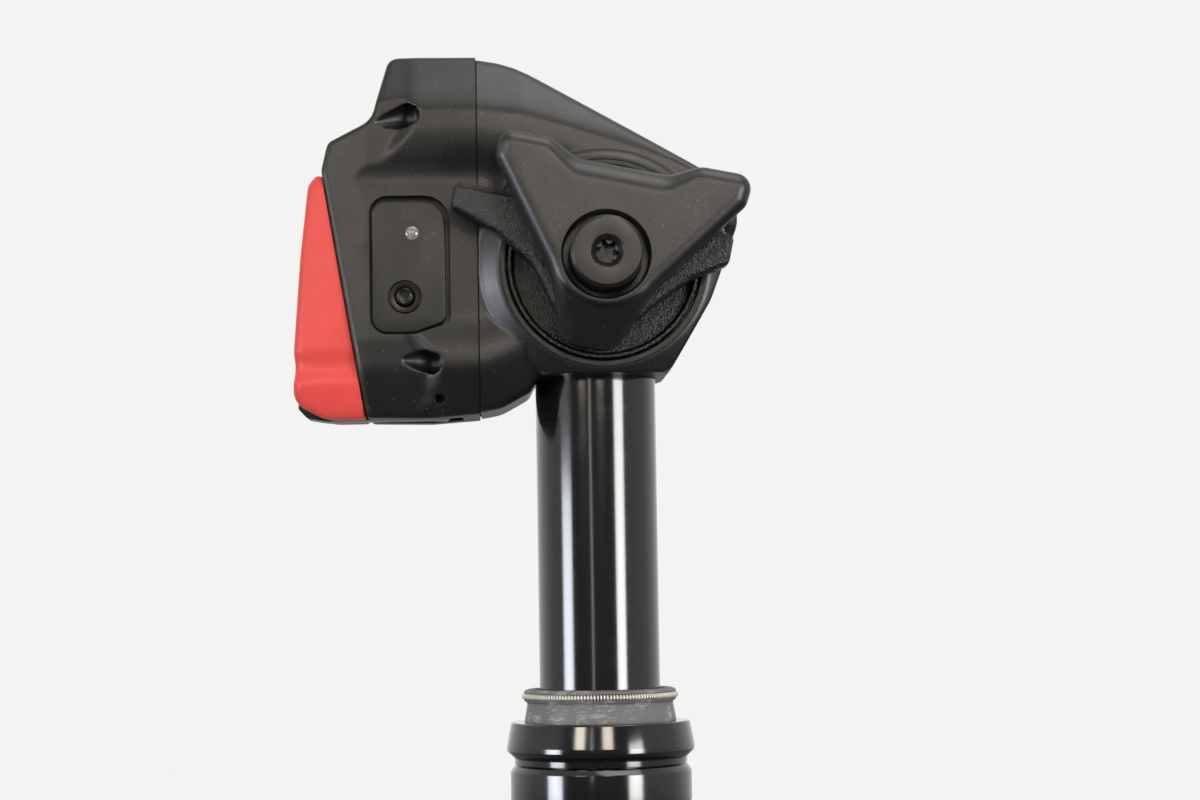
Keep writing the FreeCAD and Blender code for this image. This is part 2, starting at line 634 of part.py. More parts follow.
def module_housing():
    """Housing of the motor and circuit board, with a bay for the battery and a slot for the latch."""
    body = module_outside()
    base = HEAD_BASE
    rooms = [
        box((BAY_BACK_X + MODULE_WALL, SEAM_X), (-ROOM_HALF, ROOM_HALF), (base + 7.0, base + 32.0)),
        box((BAY_BACK_X + MODULE_WALL, SEAM_X), (-7.2, 7.2), (base - 1.2, base + 7.1)),
        box((-35.0, SEAM_X), (-7.6, 7.6), (base + 31.9, base + 54.0)),
        box((-60, BAY_BACK_X), (-TONGUE_HALF - GAP, TONGUE_HALF + GAP), (base - 3.2, base + 34.8)),
        box((-60, LATCH_PIN_AT[0] + 4.0), (-LATCH_HALF - GAP, LATCH_HALF + GAP), (base - 10, base - 2.0)),
    ]
    body = body.cut(rooms)
    pockets = [rod_x(SCREW_HEAD_R + 0.2, -60, x, y, z) for x, y, z in screw_rows()]
    body = body.cut(pockets).cut(screw_holes(SCREW_R + FIT, SEAM_X + 1))
    body = body.cut(rod_y(LATCH_PIN_R + FIT, -30, 30, LATCH_PIN_AT[0], base + LATCH_PIN_AT[1]))
    pins = [rod_x(CONTACT_R + FIT, BAY_BACK_X - 1, BAY_BACK_X + 3, 0, z) for z in contact_heights()]
    panel_back = PANEL_FACE + PANEL_THICK + FIT
    panel_seat = panel_body(0.25, -HEAD_HALF - 5, panel_back)
    return body.cut(pins).cut([panel_seat, panel_body(-1.2, panel_back - 1, -ROOM_HALF + 1)])


def contact_heights():
    """Heights of the two battery contacts."""
    middle = HEAD_BASE + 16.5
    return [middle - CONTACT_SPACING / 2, middle + CONTACT_SPACING / 2]


def module_gasket():
    """Rubber gasket in the seam between the module and the head."""
    outer = width_body(SEAM_X - 0.22, SEAM_X - 0.03, inset=1.2)
    outer = outer.common(box((-30, 0), (-30, 30), (HEAD_BASE - 5.0, HEAD_BASE + 56.5)))
    inner = box((-30, 0), (-7.6, 7.6), (HEAD_BASE - 1.4, HEAD_BASE + 54.2))
    wide = box((-30, 0), (-ROOM_HALF - 0.2, ROOM_HALF + 0.2), (HEAD_BASE + 6.8, HEAD_BASE + 32.2))
    return outer.cut([inner, wide]).cut(screw_holes(SCREW_R + 0.2, SEAM_X + 1))


def panel_outline(grow):
    """Corners of the control panel, larger by grow."""
    (x_back, x_front), (z_low, z_high) = PANEL_X, PANEL_Z
    corner = PANEL_CORNER + grow
    return above_base([
        (x_back - grow, z_low - grow, corner), (x_front - 5.6, z_low - grow, 3.0),
        (x_front + grow, z_low + 2.0 - grow, 1.8), (x_front + grow, z_high + grow, corner + 1.6),
        (x_back - grow, z_high + grow, corner),
    ])


def panel_body(grow, y_low, y_high):
    """Block with the control panel's outline."""
    return plate_xz(panel_outline(grow), y_low, y_high)


def control_panel():
    """Inset panel on the rider's right, with holes for the lamp and the button."""
    face = PANEL_FACE
    panel = panel_body(0.0, face, face + PANEL_THICK)
    button_x, button_z = BUTTON_AT[0], HEAD_BASE + BUTTON_AT[1]
    led_x, led_z = LED_AT[0], HEAD_BASE + LED_AT[1]
    ring_seat = rod_y(BUTTON_RING_R + FIT, face - 1, face + 0.9, button_x, button_z)
    button_hole = rod_y(BUTTON_R + 0.35, -30, 0, button_x, button_z)
    return panel.cut([ring_seat, button_hole, rod_y(LED_R + FIT, -30, 0, led_x, led_z)])


def button_ring():
    """Surround of the button, sunk in the panel."""
    face = PANEL_FACE
    x, z = BUTTON_AT[0], HEAD_BASE + BUTTON_AT[1]
    ring = rod_y(BUTTON_RING_R, face + 0.25, face + 0.88, x, z)
    return ring.cut(rod_y(BUTTON_R + 0.12, -30, 0, x, z))


def button_cap():
    """Push button, with a collar that keeps it in the panel."""
    face = PANEL_FACE
    x, z = BUTTON_AT[0], HEAD_BASE + BUTTON_AT[1]
    front = face - BUTTON_STANDS
    cap = rod_y(BUTTON_R, front, face + 2.4, x, z)
    cap = cap.makeChamfer(0.3, [e for e in cap.Edges if abs(e.CenterOfMass.y - front) < 1e-6])
    flange_y = face + PANEL_THICK + 0.05
    return cap.fuse(rod_y(BUTTON_R + 0.9, flange_y, face + 2.4, x, z)).removeSplitter()


def led_lens():
    """Clear lens of the status lamp."""
    face = PANEL_FACE
    x, z = LED_AT[0], HEAD_BASE + LED_AT[1]
    lens = rod_y(LED_R, face, face + 2.2, x, z)
    dome = Part.makeSphere(2.2, Vector(x, face + 1.75, z))
    return lens.fuse(dome.common(rod_y(LED_R, face - 1.0, face, x, z))).removeSplitter()


def circuit_board():
    """Board behind the panel, on two posts of the housing's wall."""
    y_face = BOARD_FACE
    return box((-39.2, SEAM_X - 1.2), (y_face, y_face + 1.2), (HEAD_BASE + 7.4, HEAD_BASE + 31.6))


def tact_switch():
    """Dome switch on the board, under the button."""
    y_face = BOARD_FACE
    x, z = BUTTON_AT[0], HEAD_BASE + BUTTON_AT[1]
    return box((x - 1.8, x + 1.8), (y_face - 1.0, y_face), (z - 1.8, z + 1.8))


def status_led():
    """Lamp on the board, behind its lens."""
    y_face = BOARD_FACE
    x, z = LED_AT[0], HEAD_BASE + LED_AT[1]
    return box((x - 0.9, x + 0.9), (y_face - 1.6, y_face), (z - 0.9, z + 0.9))


def contact_pins():
    """Sprung pins through the bay's back wall."""
    pins = []
    for z in contact_heights():
        pin = rod_x(CONTACT_R, BAY_BACK_X - 0.35, BAY_BACK_X + 3.4, 0, z)
        flange = rod_x(CONTACT_R + 0.5, BAY_BACK_X + MODULE_WALL + 0.02, BAY_BACK_X + 3.4, 0, z)
        pins.append(pin.fuse(flange).removeSplitter())
    return Part.makeCompound(pins)


def motor_end():
    """X of the motor's output face."""
    return BAY_BACK_X + MODULE_WALL + 0.1 + MOTOR_LENGTH


def motor():
    """Small electric motor, lying along X."""
    z = HEAD_BASE + VALVE_ROD_RISE - 0.4
    start = BAY_BACK_X + MODULE_WALL + 0.1
    can = rod_x(MOTOR_R, start, motor_end(), 0, z)
    return can.common(box((-60, 0), (-MOTOR_R + 0.7, MOTOR_R - 0.7), (z - 9, z + 9)))


def gearbox():
    """Reduction gearbox on the motor, with a short output nose."""
    z = HEAD_BASE + VALVE_ROD_RISE - 0.4
    start = motor_end() + 0.02
    case = rod_x(MOTOR_R, start, start + GEARBOX_LENGTH - 1.0, 0, z)
    nose = rod_x(1.5, start, start + GEARBOX_LENGTH, 0, HEAD_BASE + VALVE_ROD_RISE)
    return case.fuse(nose).removeSplitter()


def valve_rod():
    """Rod that the gearbox drives forwards to open the valve."""
    start = motor_end() + GEARBOX_LENGTH + 0.12
    z = HEAD_BASE + VALVE_ROD_RISE
    shank = rod_x(VALVE_ROD_R, start, -1.5, 0, z)
    return shank.fuse(rod_x(VALVE_ROD_R + 1.0, start, start + 1.5, 0, z)).removeSplitter()


def motor_bracket():
    """Cradle that carries the motor on the module's floor."""
    z = HEAD_BASE + VALVE_ROD_RISE - 0.4
    start = BAY_BACK_X + MODULE_WALL + 2.0
    block = box((start, start + 6.0), (-7.15, 7.15), (HEAD_BASE - 1.15, z))
    return block.cut(rod_x(MOTOR_R + FIT, start - 1, start + 8, 0, z))


def drum_bushes():
    """Bush round each clamp drum."""
    ring = rod_y(BUSH_OUT_R, DRUM_FLOOR - 0.18, BEZEL_HALF - 0.15, PIVOT.x, PIVOT.z)
    ring = ring.cut(rod_y(BUSH_IN_R, 0, 30, PIVOT.x, PIVOT.z))
    return both_sides(ring)


def latch_pin():
    """Hinge pin of the battery latch."""
    return rod_y(LATCH_PIN_R, -11.2, 11.2, LATCH_PIN_AT[0], HEAD_BASE + LATCH_PIN_AT[1])


# ---------------------------------------------------------------- rail clamp
CRADLE_OUTLINE = [   # along the rail, height above the clamp axis, corner radius
    (-13.0, 13.4, 2.0), (-13.0, ARM_TOP, 1.0), (-CRADLE_BACK, ARM_TOP, 1.0), (-CRADLE_BACK, 4.6, 1.5),
    (-19.0, 1.0, 8.0), (-12.4, -3.3, 8.0), (-5.0, -13.0, 4.0), (-3.8, -15.8, 1.5), (3.8, -15.8, 1.5),
    (5.0, -13.0, 4.0), (9.6, -7.2, 8.0), (15.4, -0.8, 10.0), (CRADLE_FRONT, 3.2, 1.5),
    (CRADLE_FRONT, ARM_TOP, 1.0), (13.0, ARM_TOP, 1.0), (13.0, 13.4, 2.0),
]

PLATE_OUTLINE = [    # along the rail, height above the clamp axis, corner radius
    (-PLATE_HALF, PLATE_TOP, 2.8), (-PLATE_HALF + 0.6, 12.6, 2.0), (-8.9, -4.6, 12.0),
    (-4.6, -PLATE_FOOT, 1.6), (4.6, -PLATE_FOOT, 1.6), (8.9, -4.6, 12.0), (PLATE_HALF - 0.6, 12.6, 2.0),
    (PLATE_HALF, PLATE_TOP, 2.8), (13.4, PLATE_TOP, 4.0), (8.0, 15.3, 5.0), (-8.0, 15.3, 5.0),
    (-13.4, PLATE_TOP, 4.0),
]


def rail_groove():
    """Space of the saddle rail on the rider's left, level about the clamp axis."""
    return rod_x(GROOVE_R, -40, 40, RAIL_Y, RAIL_RISE)


def cradle():
    """Inner clamp on the rider's left: drum in the bezel, hub and the arm under the rail."""
    arm = plate_xz(CRADLE_OUTLINE, CRADLE_IN, RAIL_Y + 0.2)
    drum = rod_y(DRUM_R, DRUM_FLOOR, DRUM_FACE, 0, 0)
    drum = drum.cut(rod_y(DRUM_R - DRUM_RIM, DRUM_FACE - POCKET_DEPTH, CRADLE_IN, 0, 0))
    hub = rod_y(HUB_R, DRUM_FLOOR, CRADLE_IN + 0.5, 0, 0)
    body = drum.fuse([hub, arm]).removeSplitter()
    return body.cut([rail_groove(), rod_y(SLEEVE_R + FIT, 0, 40, 0, 0)])


def outer_plate():
    """Outer clamp plate on the rider's left, with its ears over the rail."""
    hook_in = max(CRADLE_IN + 2.5, RAIL_Y - 2.6)
    plate = plate_xz(PLATE_OUTLINE, hook_in, PLATE_OUT)
    wedge = plate_yz(
        [
            (PLATE_OUT - 0.2, 30, 0), (PLATE_OUT - 0.2, 14.0, 0), (PLATE_OUT, 9.0, 0), (PLATE_OUT, -6.0, 6.0),
            (PLATE_OUT - 4.4, -20.0, 0), (hook_in - 1, -20.0, 0), (hook_in - 1, 30, 0),
        ],
        -40, 40,
    )
    plate = plate.common(wedge)
    edges = [
        e for e in plate.Edges
        if e.BoundBox.YMin > PLATE_OUT - 4.4 and e.BoundBox.XLength + e.BoundBox.ZLength > 0.5 and on_rim(e)
    ]
    plate = soften(plate, edges, (1.8, 1.2, 0.8))
    plate = plate.cut(box((-40, 40), (0, RAIL_Y + 0.2 + GAP), (-30, RAIL_RISE)))
    plate = plate.cut(rail_groove())
    plate = plate.cut(rod_y(COUNTERBORE_R, COUNTERBORE_FLOOR, 40, 0, 0))
    return plate.cut(rod_y(NUT_SLEEVE_R + 0.15, 0, 40, 0, 0))


def on_rim(edge):
    """True for an edge of the clamp plate's outer rim."""
    middle = edge.CenterOfMass
    outer = PLATE_OUT - 4.5 - 1e-6 < middle.y
    return outer and abs(edge.tangentAt(edge.FirstParameter).y) < 0.5


def soften(shape, edges, radii):
    """Rounds edges with the largest radius that the walls allow."""
    for radius in radii:
        try:
            rounded = shape.makeFillet(radius, edges)
        except Part.OCCError:
            continue
        if rounded.isValid() and rounded.Volume > 0.7 * shape.Volume:
            return rounded
    return shape


def clamp_sleeve():
    """Axle tube of the clamp, turning in the head."""
    sleeve = rod_y(SLEEVE_R, -CRADLE_IN - 2, CRADLE_IN + 2, 0, 0)
    return tilted(sleeve.cut(rod_y(SLEEVE_BORE_R, -40, 40, 0, 0)))


def star_socket(y_mouth, depth):
    """Six-lobed driver socket in a head whose face is at y_mouth, cut towards +Y."""
    core = rod_y(1.62, y_mouth, y_mouth + depth, 0, 0)
    lobes = []
    for i in range(6):
        turn = math.radians(60 * i)
        lobes.append(rod_y(0.55, y_mouth, y_mouth + depth, 1.68 * math.cos(turn), 1.68 * math.sin(turn)))
    return core.fuse(lobes)


def clamp_bolt():
    """Clamp bolt, its head on the rider's right."""
    face = -BOLT_SEAT - BOLT_HEAD_HEIGHT
    head = rod_y(BOLT_HEAD_R, face, -BOLT_SEAT, 0, 0)
    head = head.makeChamfer(0.45, [e for e in head.Edges if abs(e.CenterOfMass.y - face) < 1e-6])
    bolt = head.fuse(rod_y(BOLT_R, -BOLT_SEAT, 22.0, 0, 0)).removeSplitter()
    cone = Part.makeCone(3.1, 1.9, 1.1, Vector(0, face, 0), Y)
    return tilted(bolt.cut(cone).cut(star_socket(face + 0.5, 3.2)))


def bolt_washer():
    """Washer under the bolt's head."""
    washer = rod_y(WASHER_R, -BOLT_SEAT + FIT, -COUNTERBORE_FLOOR, 0, 0)
    return tilted(washer.cut(rod_y(BOLT_R + 0.2, -40, 0, 0, 0)))


def barrel_nut():
    """Threaded barrel that the clamp bolt screws into, its head on the rider's left."""
    face = COUNTERBORE_FLOOR + NUT_HEAD_HEIGHT
    head = rod_y(BOLT_HEAD_R, COUNTERBORE_FLOOR + FIT, face, 0, 0)
    head = head.makeChamfer(0.6, [e for e in head.Edges if abs(e.CenterOfMass.y - face) < 1e-6])
    nut = head.fuse(rod_y(NUT_SLEEVE_R, 8.0, COUNTERBORE_FLOOR + FIT, 0, 0)).removeSplitter()
    return tilted(nut.cut(rod_y(BOLT_R + RUN, 0, face - 1.8, 0, 0)))


# ---------------------------------------------------------------- battery and latch
SEAM_TOP = (-48.95, 35.4)    # where the battery's skin meets the housing's slanted edge
SEAM_FOOT = (-41.75, -7.2)
BATTERY_SIDE = [     # x and height of the battery's skin outside the bay
    (SEAM_TOP[0], SEAM_TOP[1], 0.3), (-50.1, 37.0, 1.0), (-51.7, 35.0, 2.0), (-53.2, 22.0, 20.0),
    (-54.6, 4.0, 20.0), (-54.7, -4.2, 3.6), (-49.0, -7.3, 8.0), (SEAM_FOOT[0], SEAM_FOOT[1], 0.3),
]


def battery_outside():
    """Outer form of the battery: the skin behind the housing and the tongue in the bay."""
    skin = plate_xz(above_base(BATTERY_SIDE), -BATTERY_HALF, BATTERY_HALF)
    taper = plate_xy(
        [
            (-40, -12.4, 0), (-40, 12.4, 0), (-49.5, 12.2, 0), (-56.5, 10.4, 2.0), (-56.5, -10.4, 2.0),
            (-49.5, -12.2, 0),
        ],
        HEAD_BASE - 20, HEAD_BASE + 70,
    )
    skin = skin.common(taper).common(width_body(-60, -30))
    tongue = plate_xz(
        above_base([
            (BAY_BACK_X - 0.4, -2.8, 0), (BAY_BACK_X - 0.4, 34.4, 1.0), (-49.5, 34.4, 0), (-50.0, 20, 0),
            (-46.0, -2.8, 0),
        ]),
        -TONGUE_HALF, TONGUE_HALF,
    )
    return skin.fuse(tongue).removeSplitter()


def battery_room(grow=0.0):
    """Space for the cells inside the battery, open at its contact face."""
    return plate_xz(
        above_base([
            (BAY_BACK_X + 1, -1.6 - grow, 0), (BAY_BACK_X + 1, 33.0 + grow, 0), (-51.0, 33.0 + grow, 1.5),
            (-52.4, 20.0, 0), (-53.4, -1.6 - grow, 1.5),
        ]),
        -TONGUE_HALF + CASE_WALL - grow, TONGUE_HALF - CASE_WALL + grow,
    )


def latch_room():
    """Channel under the battery for the latch, with a slanted lip that the latch's hook holds."""
    return plate_xz(
        above_base([
            (-40, -10, 0), (-40, -5.1, 0), (-51.0, -5.1, 0), (-52.0, -3.5, 0), (-60, -3.5, 0), (-60, -10, 0),
        ]),
        -LATCH_HALF - GAP, LATCH_HALF + GAP,
    )


def battery_case():
    """Moulded case of the battery."""
    body = battery_outside().cut(battery_room()).cut(latch_room())
    lid_seat = box(
        (BAY_BACK_X - 1.4, BAY_BACK_X + 1), (-TONGUE_HALF + 0.6, TONGUE_HALF - 0.6),
        (HEAD_BASE - 2.2, HEAD_BASE + 33.7),
    )
    return body.cut(lid_seat)


def battery_lid():
    """Cover of the case, on the contact side."""
    lid = box(
        (BAY_BACK_X - 1.4 + FIT, BAY_BACK_X - 0.4), (-TONGUE_HALF + 0.6 + FIT, TONGUE_HALF - 0.6 - FIT),
        (HEAD_BASE - 2.2 + FIT, HEAD_BASE + 33.7 - FIT),
    )
    windows = [box((-60, 0), (-1.6, 1.6), (z - 1.6, z + 1.6)) for z in contact_heights()]
    return lid.cut(windows)


def battery_contacts():
    """Gold pads that meet the module's pins."""
    pads = [
        box((BAY_BACK_X - 1.35, BAY_BACK_X - 0.4), (-1.5, 1.5), (z - 1.5, z + 1.5)) for z in contact_heights()
    ]
    return Part.makeCompound(pads)


def battery_cells():
    """Two cells side by side."""
    x = BAY_BACK_X - 1.5 - CELL_R
    low = HEAD_BASE + 0.5
    cell = rod_z(CELL_R, low, low + CELL_LENGTH, x, CELL_R + 0.3)
    return both_sides(cell)


def battery_latch():
    """Lever under the module and battery, hinged on the latch pin, its hook behind the battery's lip."""
    pin_x, pin_z = LATCH_PIN_AT
    floor = -7.15
    top = floor + LATCH_THICK - 0.15
    lever = plate_xz(
        above_base([
            (pin_x + 1.5, floor, 0.6), (pin_x + 1.5, pin_z + 0.9, 0.6), (pin_x - 2.6, pin_z + 1.3, 1.0),
            (pin_x - 5.0, top, 2.0), (-50.8, top, 0.3), (-52.0, -3.85, 0.2), (-54.0, -3.85, 0.4),
            (-54.2, -5.0, 1.0), (-52.6, -6.7, 1.4), (-49.0, -7.3, 6.0), (-42.0, floor, 10.0),
        ]),
        -LATCH_HALF, LATCH_HALF,
    )
    barrel = rod_y(LATCH_BARREL_R, -LATCH_HALF, LATCH_HALF, pin_x, HEAD_BASE + pin_z)
    lever = lever.fuse(barrel).removeSplitter()
    return lever.cut(rod_y(LATCH_PIN_R + RUN, -20, 20, pin_x, HEAD_BASE + pin_z))


# ---------------------------------------------------------------- all pieces
PIECES = {
    "lower_tube": lower_tube,
    "tube_collar": tube_collar,
    "seal_cap": seal_cap,
    "wiper_seal": wiper_seal,
    "garter_spring": garter_spring,
    "foam_ring": foam_ring,
    "upper_bushing": upper_bushing,
    "end_plug": end_plug,
    "plug_ring": plug_ring,
    "circlip": circlip,
    "inner_shaft": inner_shaft,
    "main_piston": main_piston,
    "piston_ring": piston_ring,
    "piston_nut": piston_nut,
    "top_out_bumper": top_out_bumper,
    "bottom_out_bumper": bottom_out_bumper,
    "air_valve": air_valve,
    "valve_core": valve_core,
    "valve_cap": valve_cap,
    "stanchion": stanchion,
    "guide_keys": guide_keys,
    "glide_ring": glide_ring,
    "seal_head": seal_head,
    "seal_head_rings": seal_head_rings,
    "valve_body": valve_body,
    "valve_body_ring": valve_body_ring,
    "valve_rod": valve_rod,
    "head_casting": head_casting,
    "drum_bushes": drum_bushes,
    "module_housing": module_housing,
    "module_gasket": module_gasket,
    "module_screws": module_screws,
    "control_panel": control_panel,
    "button_ring": button_ring,
    "button_cap": button_cap,
    "led_lens": led_lens,
    "circuit_board": circuit_board,
    "tact_switch": tact_switch,
    "status_led": status_led,
    "contact_pins": contact_pins,
    "motor": motor,
    "gearbox": gearbox,
    "motor_bracket": motor_bracket,
    "latch_pin": latch_pin,
    "cradle_left": lambda: tilted(cradle()),
    "cradle_right": lambda: tilted(mirrored(cradle())),
    "clamp_sleeve": clamp_sleeve,
    "outer_plate_left": lambda: tilted(outer_plate()),
    "outer_plate_right": lambda: tilted(mirrored(outer_plate())),
    "clamp_bolt": clamp_bolt,
    "bolt_washer": bolt_washer,
    "barrel_nut": barrel_nut,
    "battery_case": battery_case,
    "battery_lid": battery_lid,
    "battery_contacts": battery_contacts,
    "battery_cells": battery_cells,
    "battery_latch": battery_latch,
}


def write_pieces():
    """Builds every piece and writes it to its own STEP file."""
    os.makedirs("parts", exist_ok=True)
    for name, build in PIECES.items():
        shape = build()
        solids = shape.Solids
        if not solids or any(not s.isValid() or s.Volume <= 0 for s in solids):
            raise SystemExit(f"{name} is not a valid solid")
        shape.exportStep(f"parts/{name}.step")
        print(f"{name}: {len(solids)} solid(s), {sum(s.Volume for s in solids):.1f} mm3")


if __name__ == "__main__":
    write_pieces()
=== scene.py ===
"""Looks of a bicycle dropper seatpost with a wireless electric head.

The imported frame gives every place: +Z runs up the post, +X points forwards and -Y is the rider's right.
Each piece is modelled in millimetres and brought to metres when it is finished.
"""
import json
import logging
import math
from contextlib import contextmanager
from dataclasses import dataclass, field
from enum import Enum
from typing import Callable, Iterator, Sequence

import bpy
import numpy as np
from mathutils import Matrix, Vector


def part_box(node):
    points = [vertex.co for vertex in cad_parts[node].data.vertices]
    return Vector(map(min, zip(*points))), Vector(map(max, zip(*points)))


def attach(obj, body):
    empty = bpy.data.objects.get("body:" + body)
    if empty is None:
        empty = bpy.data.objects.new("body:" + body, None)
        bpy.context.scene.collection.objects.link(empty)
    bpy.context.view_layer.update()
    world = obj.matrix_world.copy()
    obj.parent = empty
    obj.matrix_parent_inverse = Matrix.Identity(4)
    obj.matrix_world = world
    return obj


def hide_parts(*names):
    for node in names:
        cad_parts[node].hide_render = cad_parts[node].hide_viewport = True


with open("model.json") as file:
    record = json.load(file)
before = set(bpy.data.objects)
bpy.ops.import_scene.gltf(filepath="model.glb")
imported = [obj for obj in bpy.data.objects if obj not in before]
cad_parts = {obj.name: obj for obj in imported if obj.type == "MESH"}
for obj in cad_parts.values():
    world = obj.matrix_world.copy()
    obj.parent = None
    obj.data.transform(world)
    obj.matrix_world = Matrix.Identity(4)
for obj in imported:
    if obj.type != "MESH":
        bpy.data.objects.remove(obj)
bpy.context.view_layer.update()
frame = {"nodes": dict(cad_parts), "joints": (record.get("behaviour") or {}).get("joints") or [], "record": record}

Triple = tuple[float, float, float]
Colour = Triple
Corner = Triple         # two coordinates and the radius of the corner
Point = tuple[float, float]

MM = 0.001
FIT = 0.02          # radial gap of a seated piece
REACH = 30.0        # distance from the middle plane that takes a cutter past every piece
log = logging.getLogger("dropper_post")


# ---------------------------------------------------------------- places taken from the frame
def low(node: str) -> Vector:
    """Lowest corner of a CAD node, in millimetres."""
    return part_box(node)[0] / MM


def high(node: str) -> Vector:
    """Highest corner of a CAD node, in millimetres."""
    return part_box(node)[1] / MM


def joint_place(name: str) -> Vector:
    """Point on a hinge's axis, in millimetres."""
    found = next(joint for joint in frame["joints"] if joint["name"] == name)
    return Vector(found["pos_m"]) / MM


def clamp_tilt() -> float:
    """Nose-down angle of the rail clamp, in radians, from the direction of the saddle rail."""
    rail = next(mount for mount in frame["record"]["mounts"] if mount["name"] == "rail_clamp_left")
    return math.atan2(-rail["axis"][2], rail["axis"][0])


SOCKET_DEPTH = 11.5
HEAD_BASE = high("stanchion").z - SOCKET_DEPTH      # underside of the head
SEAM_X = low("head_casting").x                      # plane where the module meets the head
PIVOT = joint_place("clamp_tilt")
PANEL_FACE = low("control_panel").y
LATCH_AXIS = (low("latch_pin") + high("latch_pin")) / 2
LATCH_AXIS.y = 0.0
PIN_HOLE_R = 1.02
ROD_AXIS = Vector((0, 0, HEAD_BASE + 5.0))          # point on the valve rod's axis
ROD_BORE_R = 2.2
SCREW_HOLE_R = 1.27
SCREW_SEATS = [     # x, y and z of each module screw's seat
    (x, side * y, HEAD_BASE + z) for x, y, z in ((-31.5, 10.6, 46.4), (-28.6, 10.9, 1.9)) for side in (-1, 1)
]


# ---------------------------------------------------------------- modelling
class Axis(Enum):
    """Direction along which an outline is drawn out, or about which a profile is turned."""

    X = 0
    Y = 1
    Z = 2

    def place(self, first: float, second: float, along: float) -> Vector:
        """Point with two outline coordinates and a distance along the axis."""
        if self is Axis.X:
            return Vector((along, first, second))
        if self is Axis.Y:
            return Vector((first, along, second))
        return Vector((first, second, along))

    def beside(self, radius: float, along: float) -> Vector:
        """Point at a radius from the axis and a distance along it."""
        if self is Axis.Z:
            return Vector((radius, 0.0, along))
        return self.place(radius, 0.0, along)

    @property
    def way(self) -> Vector:
        """Unit vector of the axis."""
        return Vector([1.0 if i == self.value else 0.0 for i in range(3)])


def only(piece: bpy.types.Object) -> None:
    """Selects one object and makes it active."""
    bpy.ops.object.select_all(action="DESELECT")
    piece.select_set(True)
    bpy.context.view_layer.objects.active = piece


@contextmanager
def editing(piece: bpy.types.Object) -> Iterator[None]:
    """Edit mode on one object, with all of it selected at the start.

    Args:
        piece: Mesh object to edit.
    """
    only(piece)
    bpy.ops.object.mode_set(mode="EDIT")
    bpy.ops.mesh.select_all(action="SELECT")
    yield
    bpy.ops.object.mode_set(mode="OBJECT")


def rounded(corners: Sequence[Corner], step: float = 9.0) -> list[Point]:
    """Closed outline with an arc at each corner.

    Args:
        corners: Coordinates and radius of each corner, in order.
        step: Largest turn between two points of an arc, in degrees.

    Returns:
        Points of the outline.
    """
    points: list[Point] = []
    for i, (a, b, radius) in enumerate(corners):
        here = Vector((a, b))
        if radius <= 0:
            points.append((a, b))
            continue
        back = (Vector(corners[i - 1][:2]) - here).normalized()
        ahead = (Vector(corners[(i + 1) % len(corners)][:2]) - here).normalized()
        half = back.angle(ahead) / 2
        reach = radius / math.tan(half)
        middle = here + (back + ahead).normalized() * (radius / math.sin(half))
        start, end = here + back * reach - middle, here + ahead * reach - middle
        first = math.atan2(start.y, start.x)
        turn = (math.atan2(end.y, end.x) - first + math.pi) % (2 * math.pi) - math.pi
        count = max(1, math.ceil(abs(math.degrees(turn)) / step))
        for k in range(count + 1):
            angle = first + turn * k / count
            points.append((middle.x + radius * math.cos(angle), middle.y + radius * math.sin(angle)))
    return points


def circle(radius: float, a: float = 0.0, b: float = 0.0, count: int = 48) -> list[Point]:
    """Round outline about (a, b)."""
    turns = [2 * math.pi * i / count for i in range(count)]
    return [(a + radius * math.cos(t), b + radius * math.sin(t)) for t in turns]


def outlined(name: str, places: Sequence[Vector], fill: str) -> bpy.types.Object:
    """New object whose vertices make one closed line through the places, filled or not."""
    bpy.ops.object.select_all(action="DESELECT")
    bpy.ops.mesh.primitive_circle_add(vertices=len(places), fill_type=fill)
    piece = bpy.context.object
    piece.name = name
    for vertex, place in zip(piece.data.vertices, places):
        vertex.co = place
    return piece


def prism(
    name: str, outline: Sequence[Point], axis: Axis, start: float, end: float,
    far: Sequence[Point] | None = None,
) -> bpy.types.Object:
    """Block drawn out from an outline.

    Args:
        name: Name of the new object.
        outline: Points of the outline at the start.
        axis: Direction of the draw.
        start: Distance along the axis where the block starts.
        end: Distance where it ends.
        far: Outline at the end, where it differs from the one at the start.

    Returns:
        The closed block.
    """
    piece = outlined(name, [axis.place(a, b, start) for a, b in outline], "NGON")
    with editing(piece):
        bpy.ops.mesh.extrude_region_move(TRANSFORM_OT_translate={"value": axis.way * (end - start)})
        bpy.ops.mesh.select_all(action="SELECT")
        bpy.ops.mesh.normals_make_consistent(inside=False)
    if far:
        drawn = [v for v in piece.data.vertices if abs(v.co[axis.value] - end) < 1e-4]
        for vertex in drawn:
            near = min(range(len(outline)), key=lambda i: (axis.place(*outline[i], end) - vertex.co).length)
            vertex.co = axis.place(*far[near], end)
    return piece


def turned(
    name: str, profile: Sequence[Point], axis: Axis = Axis.Z, centre: Vector = Vector((0, 0, 0)),
    steps: int = 128,
) -> bpy.types.Object:
    """Solid of revolution, as from a lathe.

    Args:
        name: Name of the new object.
        profile: Closed outline of (radius, distance along the axis) points.
        axis: Direction of the turning axis.
        centre: Point on the turning axis.
        steps: Faces round the piece.

    Returns:
        The closed solid.
    """
    piece = outlined(name, [centre + axis.beside(radius, along) for radius, along in profile], "NOTHING")
    with editing(piece):
        bpy.ops.mesh.spin(steps=steps, angle=2 * math.pi, center=centre, axis=axis.way, use_auto_merge=True)
        bpy.ops.mesh.select_all(action="SELECT")
        bpy.ops.mesh.remove_doubles(threshold=1e-4)
        bpy.ops.mesh.delete_loose(use_verts=True, use_edges=True, use_faces=False)
        bpy.ops.mesh.select_all(action="SELECT")
        bpy.ops.mesh.normals_make_consistent(inside=False)
    return piece


